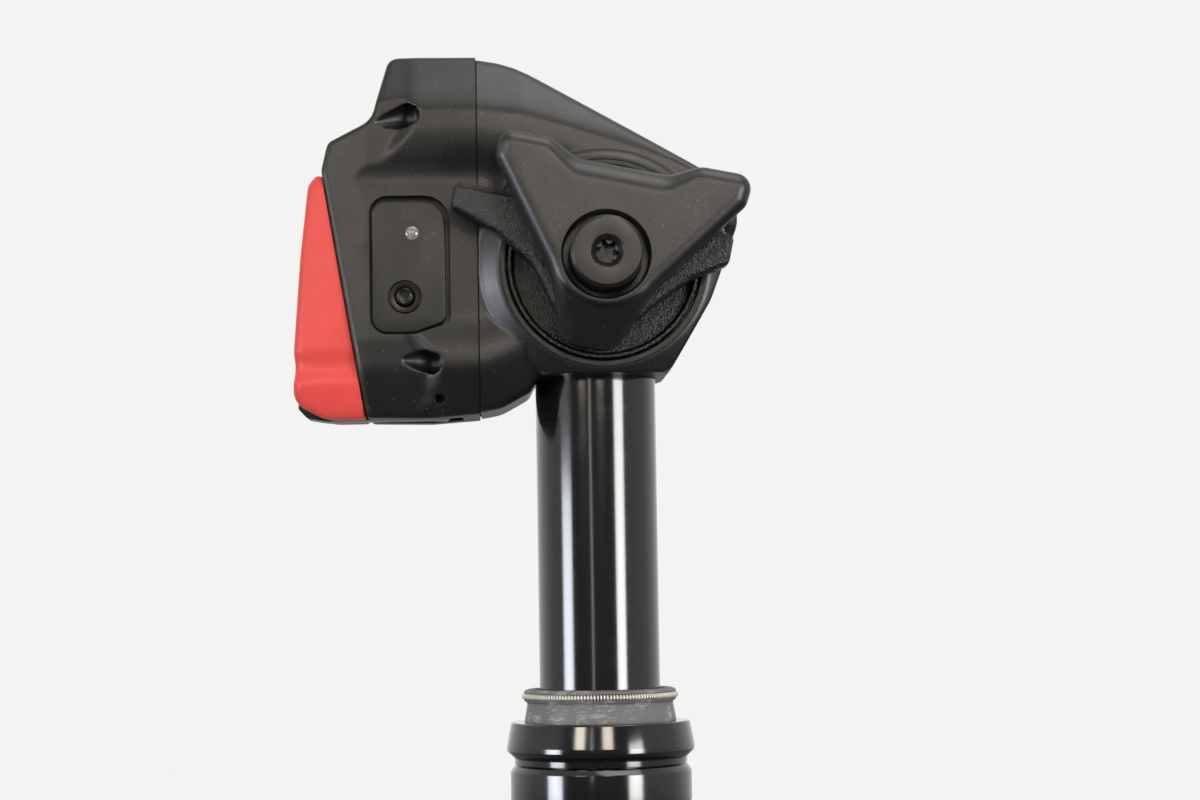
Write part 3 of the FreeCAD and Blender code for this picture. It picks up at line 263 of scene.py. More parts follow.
def rod(name: str, radius: float, axis: Axis, start: float, end: float, centre: Vector) -> bpy.types.Object:
    """Plain cylinder between two distances along an axis, about a point."""
    return turned(name, [(0, start), (radius, start), (radius, end), (0, end)], axis, centre, steps=64)


def apply(piece: bpy.types.Object, kind: str, **settings: object) -> None:
    """Adds a modifier with its settings and applies it.

    Args:
        piece: Mesh object.
        kind: Type of the modifier.
        settings: Its values by name.
    """
    only(piece)
    modifier = piece.modifiers.new(kind.lower(), kind)
    for key, value in settings.items():
        setattr(modifier, key, value)
    bpy.ops.object.modifier_apply(modifier=modifier.name)


def combine(piece: bpy.types.Object, operation: str, others: Sequence[bpy.types.Object]) -> None:
    """Adds, takes away or keeps the common part of other objects, which are used up."""
    for other in others:
        apply(piece, "BOOLEAN", operation=operation, object=other, solver="MANIFOLD")
        bpy.data.objects.remove(other)


def cut(piece: bpy.types.Object, *cutters: bpy.types.Object) -> None:
    """Takes the cutters out of a piece."""
    combine(piece, "DIFFERENCE", cutters)


def fuse(piece: bpy.types.Object, *parts: bpy.types.Object) -> None:
    """Joins the parts to a piece."""
    combine(piece, "UNION", parts)


def trim(piece: bpy.types.Object, *limits: bpy.types.Object) -> None:
    """Keeps what lies inside every limit."""
    combine(piece, "INTERSECT", limits)


def bevel(piece: bpy.types.Object, width: float, segments: int = 3, angle: float = 30.0) -> None:
    """Rounds every edge sharper than an angle in degrees."""
    apply(piece, "BEVEL", width=width, segments=segments, limit_method="ANGLE",
          angle_limit=math.radians(angle), miter_outer="MITER_ARC")


def cast(piece: bpy.types.Object, voxel: float, passes: int) -> None:
    """Gives a piece the even, soft-edged skin of a moulding.

    Args:
        piece: Closed mesh object.
        voxel: Size of the new faces.
        passes: Smoothing passes after it.
    """
    apply(piece, "REMESH", mode="VOXEL", voxel_size=voxel, use_smooth_shade=True)
    if passes:
        apply(piece, "SMOOTH", factor=0.5, iterations=passes)


def thin(piece: bpy.types.Object, ratio: float) -> None:
    """Drops the faces that a nearly flat skin doesn't need."""
    apply(piece, "DECIMATE", ratio=ratio)


def reshape(piece: bpy.types.Object, form: Callable[[np.ndarray], np.ndarray]) -> None:
    """Moves every vertex by a formula.

    Args:
        piece: Mesh object.
        form: Takes the vertices as rows of x, y and z, and returns them moved.
    """
    mesh = piece.data
    places = np.empty(len(mesh.vertices) * 3)
    mesh.vertices.foreach_get("co", places)
    mesh.vertices.foreach_set("co", form(places.reshape(-1, 3)).ravel())
    mesh.update()


def inset(outline: Sequence[Point], a: np.ndarray, b: np.ndarray) -> np.ndarray:
    """Distance of points from the nearest side of a closed outline."""
    nearest = np.full(a.shape, np.inf)
    for i, (a1, b1) in enumerate(outline):
        a0, b0 = outline[i - 1]
        run, rise = a1 - a0, b1 - b0
        length = run * run + rise * rise
        if length < 1e-12:
            continue
        share = np.clip(((a - a0) * run + (b - b0) * rise) / length, 0.0, 1.0)
        nearest = np.minimum(nearest, np.hypot(a - a0 - share * run, b - b0 - share * rise))
    return nearest


def round_rim(
    piece: bpy.types.Object, outline: Sequence[Point], start: float, end: float, radius: float,
    start_radius: float | None = None,
) -> None:
    """Rounds the rims of a finely faced block that was drawn out along Y.

    Args:
        piece: Block whose faces are small.
        outline: Its outline in x and z.
        start: Y of its first face.
        end: Y of its last face.
        radius: Radius at the end.
        start_radius: Radius at the start, where it differs.
    """
    first = radius if start_radius is None else start_radius

    def rounded_off(places: np.ndarray) -> np.ndarray:
        depth = inset(outline, places[:, 0], places[:, 2])
        fall = []
        for size in (first, radius):
            short = np.clip(size - depth, 0.0, size)
            fall.append(size - np.sqrt(size ** 2 - short ** 2))
        places[:, 1] = np.clip(places[:, 1], start + fall[0], end - fall[1])
        return places
    reshape(piece, rounded_off)


def room(x_low: float, x_high: float, half: float, z_low: float, z_high: float) -> bpy.types.Object:
    """Cutter with flat walls that stands across the middle plane."""
    walls = [(x_low, -half), (x_high, -half), (x_high, half), (x_low, half)]
    return prism("room", walls, Axis.Z, z_low, z_high)


def cut_sides(piece: bpy.types.Object, radius: float, near: float, far: float, centre: Vector) -> None:
    """Cuts the same round recess into both sides.

    Args:
        piece: Piece to cut.
        radius: Radius of the recess.
        near: Distance of its floor from the middle plane.
        far: Distance at which the cutter ends.
        centre: Point on its axis.
    """
    for side in (-1, 1):
        cut(piece, rod("recess", radius, Axis.Y, *sorted((side * near, side * far)), centre))


def cut_slots(
    piece: bpy.types.Object, near: float, far: float, width: float, start: float, end: float,
) -> None:
    """Cuts three upright slots, evenly spaced round the post.

    Args:
        piece: Piece to cut.
        near: Distance of a slot's inner wall from the post's axis.
        far: Distance of its outer wall.
        width: Width of a slot.
        start: Height where the slots start.
        end: Height where they end.
    """
    walls = [(near, -width / 2), (far, -width / 2), (far, width / 2), (near, width / 2)]
    for i in range(3):
        slot = prism("slot", walls, Axis.Z, start, end)
        slot.data.transform(Matrix.Rotation(math.radians(120 * i), 4, "Z"))
        cut(piece, slot)


def above_base(corners: Sequence[Corner]) -> list[Corner]:
    """Corners given above the head's underside, moved to their height."""
    return [(a, b + HEAD_BASE, radius) for a, b, radius in corners]


def across(name: str, corners: Sequence[Corner], half: float) -> bpy.types.Object:
    """Block across the middle plane, from corners given above the head's underside."""
    return prism(name, rounded(above_base(corners)), Axis.Y, -half, half)


def blank(name: str, corners: Sequence[Corner], half: float, rim: float, face: float) -> bpy.types.Object:
    """Finely faced block across the middle plane, ready to be shaped.

    Args:
        name: Name of the new object.
        corners: Corners of its side, given above the head's underside.
        half: Distance of its sides from the middle plane.
        rim: Radius of its rims.
        face: Size of its faces.

    Returns:
        The block.
    """
    block = across(name, corners, half)
    cast(block, face, 0)
    round_rim(block, rounded(above_base(corners)), -half, half, rim)
    return block


def copied(piece: bpy.types.Object, name: str, move: Matrix) -> bpy.types.Object:
    """Copy of a piece with its own mesh, moved; a mirrored copy is turned the right way out."""
    twin = piece.copy()
    twin.data = piece.data.copy()
    twin.name = name
    bpy.context.scene.collection.objects.link(twin)
    twin.data.transform(move)
    if move.determinant() < 0:
        with editing(twin):
            bpy.ops.mesh.flip_normals()
    return twin


def joined(name: str, pieces: Sequence[bpy.types.Object]) -> bpy.types.Object:
    """Several separate solids as one object."""
    only(pieces[0])
    for piece in pieces:
        piece.select_set(True)
    bpy.ops.object.join()
    pieces[0].name = name
    return pieces[0]


MIRROR = Matrix.Scale(-1, 4, Vector((0, 1, 0)))     # the rider's other side


def smoothstep(start: float, end: float, value: np.ndarray) -> np.ndarray:
    """Rises smoothly from 0 at start to 1 at end."""
    t = np.clip((value - start) / (end - start), 0.0, 1.0)
    return t * t * (3 - 2 * t)


def ramp(start: float, end: float, value: np.ndarray) -> np.ndarray:
    """Rises from 0 at start to 1 at end, half straight and half smooth."""
    return 0.5 * (np.clip((value - start) / (end - start), 0.0, 1.0) + smoothstep(start, end, value))


def roll(distance: np.ndarray, slope: float, radius: float) -> np.ndarray:
    """Fall beyond an edge that starts round and goes on as a straight slope; 0 before the edge."""
    beyond = np.maximum(distance, 0.0)
    return slope * (np.sqrt(beyond ** 2 + radius ** 2) - radius)


# ---------------------------------------------------------------- finishes
def preset(node: bpy.types.Node, values: dict[str, object]) -> bpy.types.Node:
    """Gives a node's inputs their values, by name."""
    for name, value in values.items():
        node.inputs[name].default_value = value
    return node


class Tree:
    """Node tree of one material, with short calls for the nodes that the finishes use."""

    def __init__(self, name: str) -> None:
        """Starts a material with a principled shader."""
        self.material = bpy.data.materials.new(name)
        self.material.use_nodes = True
        self.nodes = self.material.node_tree.nodes
        self.links = self.material.node_tree.links
        self.shader = self.nodes["Principled BSDF"]
        self.coordinates = self.nodes.new("ShaderNodeTexCoord").outputs["Object"]

    def add(self, kind: str, values: dict[str, object]) -> bpy.types.Node:
        """New node of a kind, with some of its inputs set."""
        return preset(self.nodes.new("ShaderNode" + kind), values)

    def wire(self, source: object, socket: bpy.types.NodeSocket) -> None:
        """Sets a socket from a node's output or from a plain value."""
        if isinstance(source, bpy.types.NodeSocket):
            self.links.new(source, socket)
        else:
            socket.default_value = source

    def stretched(self, stretch: Triple) -> bpy.types.NodeSocket:
        """Object coordinates, scaled along each axis."""
        mapping = self.add("Mapping", {"Scale": stretch})
        self.links.new(self.coordinates, mapping.inputs["Vector"])
        return mapping.outputs["Vector"]

    def noise(
        self, size: float, detail: float = 3.0, rough: float = 0.55, stretch: Triple = (1, 1, 1),
    ) -> bpy.types.NodeSocket:
        """Cloudy pattern whose lumps are about size millimetres."""
        node = self.add("TexNoise", {"Scale": 1.0 / (size * MM), "Detail": detail, "Roughness": rough})
        self.links.new(self.stretched(stretch), node.inputs["Vector"])
        return node.outputs["Fac"]

    def band(
        self, source: object, start: float, end: float, low_value: float = 0.0, high_value: float = 1.0,
    ) -> bpy.types.NodeSocket:
        """Maps a value from start..end to low_value..high_value, clamped."""
        node = self.add("MapRange", {
            "From Min": start, "From Max": end, "To Min": low_value, "To Max": high_value,
        })
        self.wire(source, node.inputs["Value"])
        return node.outputs["Result"]

    def reckon(self, operation: str, first: object, second: object) -> bpy.types.NodeSocket:
        """Arithmetic on two values."""
        node = self.nodes.new("ShaderNodeMath")
        node.operation = operation
        self.wire(first, node.inputs[0])
        self.wire(second, node.inputs[1])
        return node.outputs[0]

    def blend(self, share: object, first: object, second: object) -> bpy.types.NodeSocket:
        """Colour between two colours."""
        node = self.nodes.new("ShaderNodeMix")
        node.data_type = "RGBA"
        self.wire(share, node.inputs["Factor"])
        self.wire(first if isinstance(first, bpy.types.NodeSocket) else (*first, 1.0), node.inputs["A"])
        self.wire(second if isinstance(second, bpy.types.NodeSocket) else (*second, 1.0), node.inputs["B"])
        return node.outputs["Result"]

    def specks(self, spacing: float, radius: float, share: float) -> bpy.types.NodeSocket:
        """Sparse round specks.

        Args:
            spacing: Size of the cells that may hold a speck, in millimetres.
            radius: Radius of a speck as a share of its cell.
            share: Share of the cells that hold one.

        Returns:
            1 on a speck and 0 elsewhere.
        """
        node = self.add("TexVoronoi", {"Scale": 1.0 / (spacing * MM)})
        self.links.new(self.coordinates, node.inputs["Vector"])
        near = self.band(node.outputs["Distance"], radius, radius * 0.6)
        split = self.nodes.new("ShaderNodeSeparateColor")
        self.links.new(node.outputs["Color"], split.inputs[0])
        chosen = self.reckon("LESS_THAN", split.outputs[0], share)
        return self.reckon("MULTIPLY", near, chosen)

    def bump(self, height: object, depth: float, under: object = None) -> bpy.types.NodeSocket:
        """Surface normal with a relief of depth millimetres, over another relief where one is given."""
        node = self.add("Bump", {"Distance": depth * MM})
        self.links.new(height, node.inputs["Height"])
        if under is not None:
            self.links.new(under, node.inputs["Normal"])
        return node.outputs["Normal"]


DUST: Colour = (0.45, 0.44, 0.42)


@dataclass(frozen=True)
class Finish:
    """Surface finish of a material slot.

    Sizes of grain and specks are in millimetres.
    """

    slot: str
    colour: Colour
    roughness: float
    metallic: float = 0.0
    specular: float = 0.5
    coat: float = 0.0
    coat_roughness: float = 0.1
    grain: float = 0.0          # depth of the surface's relief
    grain_size: float = 0.3
    mottle: float = 0.04        # change of roughness over the surface
    tint: float = 0.12          # change of brightness over the surface
    dust: float = 0.0           # share of possible specks that are there
    lines: float = 0.0          # depth of fine lines left by turning or drawing
    line_stretch: Triple = (1.0, 1.0, 1.0)

    def base(self, tree: Tree) -> object:
        """Colour over the surface."""
        cloud = tree.band(tree.noise(9.0, 4.0), 0.3, 0.7)
        dark = tuple(c * (1 - self.tint) for c in self.colour)
        light = tuple(min(1.0, c * (1 + self.tint)) for c in self.colour)
        return tree.blend(cloud, dark, light)

    def normal(self, tree: Tree) -> object:
        """Relief of the surface, or None where it is smooth."""
        relief = None
        if self.grain:
            fine, coarse = tree.noise(self.grain_size, 2.0, 0.6), tree.noise(self.grain_size * 3, 1.0)
            relief = tree.bump(tree.reckon("ADD", fine, coarse), self.grain)
        if self.lines:
            drawn = tree.noise(0.35, 1.0, 0.5, self.line_stretch)
            relief = tree.bump(drawn, self.lines, relief)
        return relief

    def material(self) -> bpy.types.Material:
        """Builds the finish's node material."""
        tree = Tree(self.slot)
        inputs = tree.shader.inputs
        colour = self.base(tree)
        rough = tree.band(
            tree.noise(3.0, 5.0), 0.25, 0.75, self.roughness - self.mottle, self.roughness + self.mottle
        )
        if self.dust:
            specks = tree.specks(0.75, 0.1, self.dust * 0.7)
            colour = tree.blend(tree.reckon("MULTIPLY", specks, 0.8), colour, DUST)
            rough = tree.reckon("MAXIMUM", rough, tree.reckon("MULTIPLY", specks, 0.8))
        tree.wire(colour, inputs["Base Color"])
        tree.wire(rough, inputs["Roughness"])
        preset(tree.shader, {
            "Metallic": self.metallic, "Specular IOR Level": self.specular, "Coat Weight": self.coat,
            "Coat Roughness": self.coat_roughness,
        })
        relief = self.normal(tree)
        if relief is not None:
            tree.wire(relief, inputs["Normal"])
        return tree.material


@dataclass(frozen=True)
class GreasyRubber(Finish):
    """Rubber with pale smears of grease that run round the post."""

    smear: Colour = (0.62, 0.62, 0.6)

    def base(self, tree: Tree) -> object:
        """Rubber colour under the smears."""
        plain = super().base(tree)
        streaks = tree.noise(1.6, 6.0, 0.7, (1.0, 1.0, 4.5))
        patches = tree.noise(5.0, 2.0)
        share = tree.band(tree.reckon("MULTIPLY", streaks, patches), 0.27, 0.42)
        return tree.blend(tree.reckon("MULTIPLY", share, 0.75), plain, self.smear)


@dataclass(frozen=True)
class Moulded(Finish):
    """Coloured plastic that lets a little light in."""

    depth: float = 0.08

    def material(self) -> bpy.types.Material:
        """Builds the finish's node material with light scattered under the skin."""
        made = super().material()
        preset(made.node_tree.nodes["Principled BSDF"], {
            "Subsurface Weight": self.depth, "Subsurface Radius": (1.0, 0.25, 0.15),
            "Subsurface Scale": 0.6 * MM,
        })
        return made


@dataclass(frozen=True)
class ClearLens(Finish):
    """Water-clear plastic over a pale lamp."""

    def material(self) -> bpy.types.Material:
        """Builds the finish's node material with light passing through."""
        made = super().material()
        preset(made.node_tree.nodes["Principled BSDF"], {"Transmission Weight": 0.35, "IOR": 1.49})
        return made


AROUND = (0.06, 0.06, 3.0)      # lines that run round the post
ALONG = (6.0, 6.0, 0.02)        # lines that run up the post

FINISHES: dict[str, Finish] = {look.slot: look for look in (
    Finish("black_anodised", (0.006, 0.0061, 0.007), 0.12, specular=1.0, mottle=0.02, lines=0.0012,
           line_stretch=ALONG),
    GreasyRubber("grey_rubber", (0.18, 0.181, 0.187), 0.62, grain=0.02, grain_size=0.35, mottle=0.1),
    Finish("spring_steel", (0.95, 0.9, 0.82), 0.5, metallic=0.6),
    Finish("black_rubber", (0.018, 0.018, 0.018), 0.7, grain=0.01),
    Finish("foam", (0.45, 0.38, 0.26), 0.9, grain=0.3, grain_size=0.5),
    Finish("bearing_polymer", (0.006, 0.006, 0.006), 0.42, specular=0.7, grain=0.005),
    Finish("clear_aluminium", (0.62, 0.63, 0.65), 0.3, metallic=1.0, lines=0.003, line_stretch=AROUND),
    Finish("valve_brass", (0.7, 0.5, 0.22), 0.28, metallic=1.0, lines=0.003, line_stretch=AROUND),
    Finish("cap_plastic", (0.02, 0.02, 0.02), 0.5, grain=0.01),
    Finish("satin_black_metal", (0.006, 0.0059, 0.0058), 0.4, specular=0.9, grain=0.011, grain_size=0.18,
           mottle=0.03, dust=0.3),
    Finish("rough_black_metal", (0.005, 0.005, 0.005), 0.32, specular=0.8, grain=0.2, grain_size=0.28,
           mottle=0.06, dust=0.3),
    Finish("module_black", (0.007, 0.0069, 0.0068), 0.43, specular=0.75, grain=0.005, grain_size=0.14,
           mottle=0.04, dust=0.45),
    Finish("panel_black", (0.006, 0.006, 0.0058), 0.43, specular=0.7, grain=0.003, grain_size=0.12, dust=0.4),
    Finish("button_black", (0.007, 0.006, 0.005), 0.22, specular=0.5, mottle=0.02),
    ClearLens("lamp_lens", (0.4, 0.38, 0.38), 0.08, specular=0.6, coat=1.0, mottle=0.01),
    Moulded("battery_red", (0.84, 0.085, 0.074), 0.42, specular=0.4, grain=0.004, grain_size=0.2, tint=0.05,
            dust=0.3),
    Finish("battery_black", (0.018, 0.018, 0.019), 0.35, grain=0.004),
    Finish("gold", (0.78, 0.56, 0.22), 0.2, metallic=1.0),
    Finish("cell_wrap", (0.05, 0.12, 0.3), 0.3, coat=0.5),
    Finish("black_oxide", (0.007, 0.0068, 0.0068), 0.36, specular=0.7, mottle=0.08, dust=0.3, grain=0.003,
           lines=0.002, line_stretch=(1.0, 0.05, 1.0)),
    Finish("plain_steel", (0.52, 0.52, 0.53), 0.3, metallic=1.0, lines=0.002, line_stretch=AROUND),
    Finish("board_green", (0.015, 0.12, 0.045), 0.35, coat=0.6),
    Finish("part_white", (0.7, 0.7, 0.68), 0.4),
)}
_made: dict[str, bpy.types.Material] = {}


def material(slot: str) -> bpy.types.Material:
    """Material of a slot, built when it is first asked for."""
    if slot not in _made:
        _made[slot] = FINISHES[slot].material()
    return _made[slot]


def finish(
    piece: bpy.types.Object, nodes: Sequence[str] | str, body: str, slot: str, angle: float = 35.0,
) -> bpy.types.Object:
    """Brings a modelled piece to metres, dresses it and puts it on its body.

    Args:
        piece: Piece in millimetres.
        nodes: CAD node or nodes that it stands for.
        body: Body that it moves with.
        slot: Material slot.
        angle: Edges sharper than this many degrees stay crisp.

    Returns:
        The finished piece.
    """
    nodes = [nodes] if isinstance(nodes, str) else list(nodes)
    only(piece)
    piece.scale = (MM, MM, MM)
    bpy.ops.object.transform_apply(location=True, rotation=True, scale=True)
    bpy.ops.object.shade_smooth_by_angle(angle=math.radians(angle))
    piece.name = nodes[0] + "_form"
    piece.data.materials.clear()
    piece.data.materials.append(material(slot))
    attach(piece, body)
    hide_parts(*nodes)
    log.info("%s: %d faces", piece.name, len(piece.data.polygons))
    return piece


# ---------------------------------------------------------------- lower post
@dataclass
class LowerPost:
    """Tube that the bicycle holds, with its collar, seal cap, wiper and the inner parts."""

    post_r: float = 13.6
    wall: float = 1.3
    lead: float = 0.5
    collar_r: float = 16.5
    collar_neck_r: float = 14.5
    collar_seat: float = 0.3
    cap_r: float = 17.1
    cap_rise: float = 0.5
    wiper_r: float = 13.75
    stanchion_r: float = 11.0
    spring_r: float = 0.56
    spring_coils: int = 150
    wire_r: float = 0.17
    groove_drop: float = 1.25       # distance of the spring's groove below the wiper's top
    keyway: tuple[float, float] = (3.2, 12.8)       # width of a keyway and its radius
    keyway_foot: float = 44.0                       # height above the end plug's foot
    body: str = "lower_post"

    def tube(self) -> None:
        """Lower tube, turned down under its collar and grooved inside for the three keys."""
        top, foot = high("lower_tube").z, low("tube_collar").z - FIT
        bore = self.post_r - self.wall
        seat = self.post_r - self.collar_seat
        piece = turned("tube", rounded([
            (self.post_r - self.lead, 0, 0.2), (self.post_r, self.lead, 0.6), (self.post_r, foot, 0),
            (seat, foot, 0), (seat, top, 0), (bore, top, 0), (bore, 0, 0.2),
        ]))
        width, radius = self.keyway
        cut_slots(piece, 0.0, radius, width, low("end_plug").z + self.keyway_foot, low("upper_bushing").z)
        finish(piece, "lower_tube", self.body, "black_anodised")

    def collar(self) -> None:
        """Collar with its cone below and its chamfered shoulder."""
        foot, top = low("tube_collar").z, high("tube_collar").z
        shoulder = top - 3.8
        bore = self.post_r - self.collar_seat + FIT
        piece = turned("collar", rounded([
            (bore, foot, 0), (self.post_r + 0.5, foot, 0.2), (self.collar_r, foot + 6.2, 1.5),
            (self.collar_r, shoulder - 1.0, 0.25), (self.collar_r - 0.7, shoulder, 0.2),
            (self.collar_neck_r, shoulder, 0.1), (self.collar_neck_r, top, 0), (bore, top, 0),
        ]), steps=160)
        finish(piece, "tube_collar", self.body, "black_anodised", 25)

    def cap(self) -> None:
        """Seal cap: cone below, narrow rim and a long cone above."""
        foot, top = low("seal_cap").z, high("seal_cap").z + self.cap_rise
        neck, hole = self.collar_neck_r + FIT, self.wiper_r + 0.15
        piece = turned("cap", rounded([
            (neck, foot, 0), (self.cap_r - 1.4, foot, 0.15), (self.cap_r - 1.4, foot + 1.15, 0.15),
            (self.cap_r, foot + 2.5, 0.2), (self.cap_r, foot + 3.4, 0.15), (self.cap_r - 0.8, top, 0.45),
            (hole, top, 0.25), (hole, top - 2.0, 0), (neck, top - 2.0, 0),
        ]), steps=160)
        finish(piece, "seal_cap", self.body, "black_anodised", 22)

    def wiper(self) -> None:
        """Rubber wiper: flange, sloping neck, spring groove and sharp lip."""
        foot, top, cap_top = low("wiper_seal").z, high("wiper_seal").z, high("seal_cap").z + self.cap_rise
        outer, lip = self.wiper_r, self.stanchion_r + 0.15
        flange, groove = self.collar_neck_r - 0.1, top - self.groove_drop
        ring = self.spring_r + 0.06
        piece = turned("wiper", rounded([
            (self.stanchion_r + 0.9, foot, 0), (flange, foot, 0.2), (flange, cap_top - 2.1, 0.2),
            (outer, cap_top - 2.1, 0.1), (outer, cap_top + 0.7, 0.5), (outer - 0.5, top - 2.5, 0.4),
            (outer + 0.15, top - 2.0, 0.2), (outer + 0.15, groove - ring, 0.05),
            (outer - ring, groove - ring, 0.5), (outer - ring, groove + ring, 0.5),
            (outer + 0.1, groove + ring, 0.05),
            (outer + 0.1, top - 0.3, 0.25), (outer - 0.6, top, 0.3), (lip + 0.9, top, 0.3),
            (lip, top - 0.9, 0.2), (lip + 0.6, top - 2.6, 0.3),
        ]), steps=160)
        finish(piece, "wiper_seal", self.body, "grey_rubber", 40)

    def spring(self) -> None:
        """Garter spring: one leaning coil, copied round the wiper."""
        bpy.ops.object.select_all(action="DESELECT")
        bpy.ops.mesh.primitive_torus_add(
            major_segments=10, minor_segments=6, major_radius=self.spring_r - self.wire_r,
            minor_radius=self.wire_r,
        )
        coil = bpy.context.object
        lean = Matrix.Rotation(math.radians(5), 4, "X") @ Matrix.Rotation(math.radians(90), 4, "X")
        groove = high("wiper_seal").z - self.groove_drop
        coil.data.transform(Matrix.Translation((self.wiper_r, 0, groove)) @ lean)
        share = (self.spring_coils - 1) / self.spring_coils
        with editing(coil):
            bpy.ops.mesh.spin(
                steps=self.spring_coils - 1, dupli=True, angle=2 * math.pi * share, center=(0, 0, 0),
                axis=(0, 0, 1),
            )
        finish(coil, "garter_spring", self.body, "spring_steel", 60)

    def valve_cap(self) -> None:
        """Dust cap of the air valve, ribbed for the fingers."""
        foot, top = low("valve_cap").z, high("valve_cap").z
        stem = 3.85
        piece = turned("valve_cap", rounded([
            (0, foot, 0), (5.0, foot, 0.6), (5.0, top, 0.2), (stem, top, 0.1), (stem, foot + 1.5, 0.2),
            (0, foot + 1.5, 0),
        ]), steps=96)
        for a, b in circle(5.15, count=16):
            cut(piece, rod("rib", 0.35, Axis.Z, foot + 1.2, top + 1, Vector((a, b, 0))))
        finish(piece, "valve_cap", self.body, "cap_plastic")

    def build(self) -> None:
        """Builds the pieces of the lower post."""
        self.tube()
        self.collar()
        self.cap()
        self.wiper()
        self.spring()
        self.valve_cap()


@dataclass
class UpperPost:
    """Stanchion that slides in the lower post."""

    radius: float = 11.0
    wall: float = 1.7
    key_size: Triple = (3.04, 12.04, 0.72)      # width, length and depth of a pocket
    ring_seat: Triple = (3.0, 15.0, 0.5)        # start and end above the foot, and depth
    body: str = "upper_post"

    def build(self) -> None:
        """Stanchion with its keys' pockets, its glide ring's seat and the hole for the valve rod."""
        foot, top = low("stanchion").z, high("stanchion").z
        start, end, sink = self.ring_seat
        bore, seat = self.radius - self.wall, self.radius - sink
        ring_low, ring_high = foot + start, foot + end
        piece = turned("stanchion", rounded([
            (bore, foot, 0.1), (self.radius, foot, 0.2), (self.radius, ring_low, 0), (seat, ring_low, 0),
            (seat, ring_high, 0), (self.radius, ring_high, 0), (self.radius, top, 0.3), (bore, top, 0.1),
        ]), steps=160)
        width, length, depth = self.key_size
        key_top = high("guide_keys").z + FIT
        cut_slots(piece, self.radius - depth, self.radius + 3.0, width, key_top - length, key_top)
        cut(piece, rod("rod_hole", ROD_BORE_R, Axis.X, -14.0, 0.0, ROD_AXIS))
        finish(piece, "stanchion", self.body, "black_anodised")


# ---------------------------------------------------------------- head and valve module
@dataclass
class SideForm:
    """Outer form of the head and the valve module, as a half width over their sides.

    Heights are above the head's underside.
    """

    boss: float = 15.75         # half width at the screw bosses
    flat: float = 14.3          # half width between them
    hollow: float = 0.55        # depth of the hollow under the upper bosses
    ridge_line: tuple[Point, ...] = (
        (-60, 47.8), (-21, 47.8), (-12.7, 46.8), (-6.8, 45.2), (-0.9, 43.3), (5.2, 41.4), (16.4, 37.6),
        (26.0, 34.0),
    )
    foot_line: tuple[Point, ...] = (
        (-60, -7.4), (-21, -7.0), (-17.2, -5.8), (-12.2, -3.4), (-8.0, -1.5), (12.8, -1.5), (26.0, 4.0),
    )
    crease_line: tuple[Point, ...] = (      # height and x of the line where the bosses end
        (-7.4, -31.5), (-4.0, -28.0), (2.0, -27.2), (6.0, -30.0), (10.0, -33.5), (24.0, -40.0), (38.0, -36.5),
        (44.0, -32.0), (50.0, -30.9), (60.0, -30.9),
    )
    crease_width: float = 3.8
    taper_start: float = -40.0
    taper_slope: float = 0.22

    def half(self, x: np.ndarray, z: np.ndarray) -> np.ndarray:
        """Half width at x and at a height above the head's underside.

        Args:
            x: Places along the ride direction.
            z: Heights above the underside.

        Returns:
            Half widths there.
        """
        ridge = np.interp(x, *zip(*self.ridge_line))
        foot = np.interp(x, *zip(*self.foot_line))
        stands = self.boss - self.flat
        upper = ramp(ridge - 12.8, ridge - 3.4, z)
        lower = smoothstep(foot + 18.5, foot + 10.4, z)
        sunk = self.hollow * np.exp(-((z - ridge + 11.6) / 3.4) ** 2)
        bossed = self.flat + stands * np.maximum(upper, lower) - sunk
        roof = roll(z - ridge + 0.8, 0.62, 2.2)
        under = roll(foot + 9.6 - z, 0.68, 2.6)
        taper = roll(self.taper_start - x, self.taper_slope, 1.2)
        flank = np.minimum(self.flat - taper - 0.10 * np.maximum(6.5 - z, 0.0), bossed)
        crease = np.interp(z, *zip(*self.crease_line))
        share = smoothstep(crease - self.crease_width, crease, x)
        side = flank + (bossed - flank) * share
        rear_roof = 0.10 * np.maximum(crease - x, 0.0)
        top = self.boss - roof - rear_roof * (1 - share)
        return np.minimum(side, top) - under * (0.45 + 0.55 * share)

    def apply(self, piece: bpy.types.Object, full: float) -> None:
        """Narrows a block whose sides stand at full to this form."""
        def narrowed(places: np.ndarray) -> np.ndarray:
            places[:, 1] *= self.half(places[:, 0], places[:, 2] - HEAD_BASE) / full
            return places
        reshape(piece, narrowed)


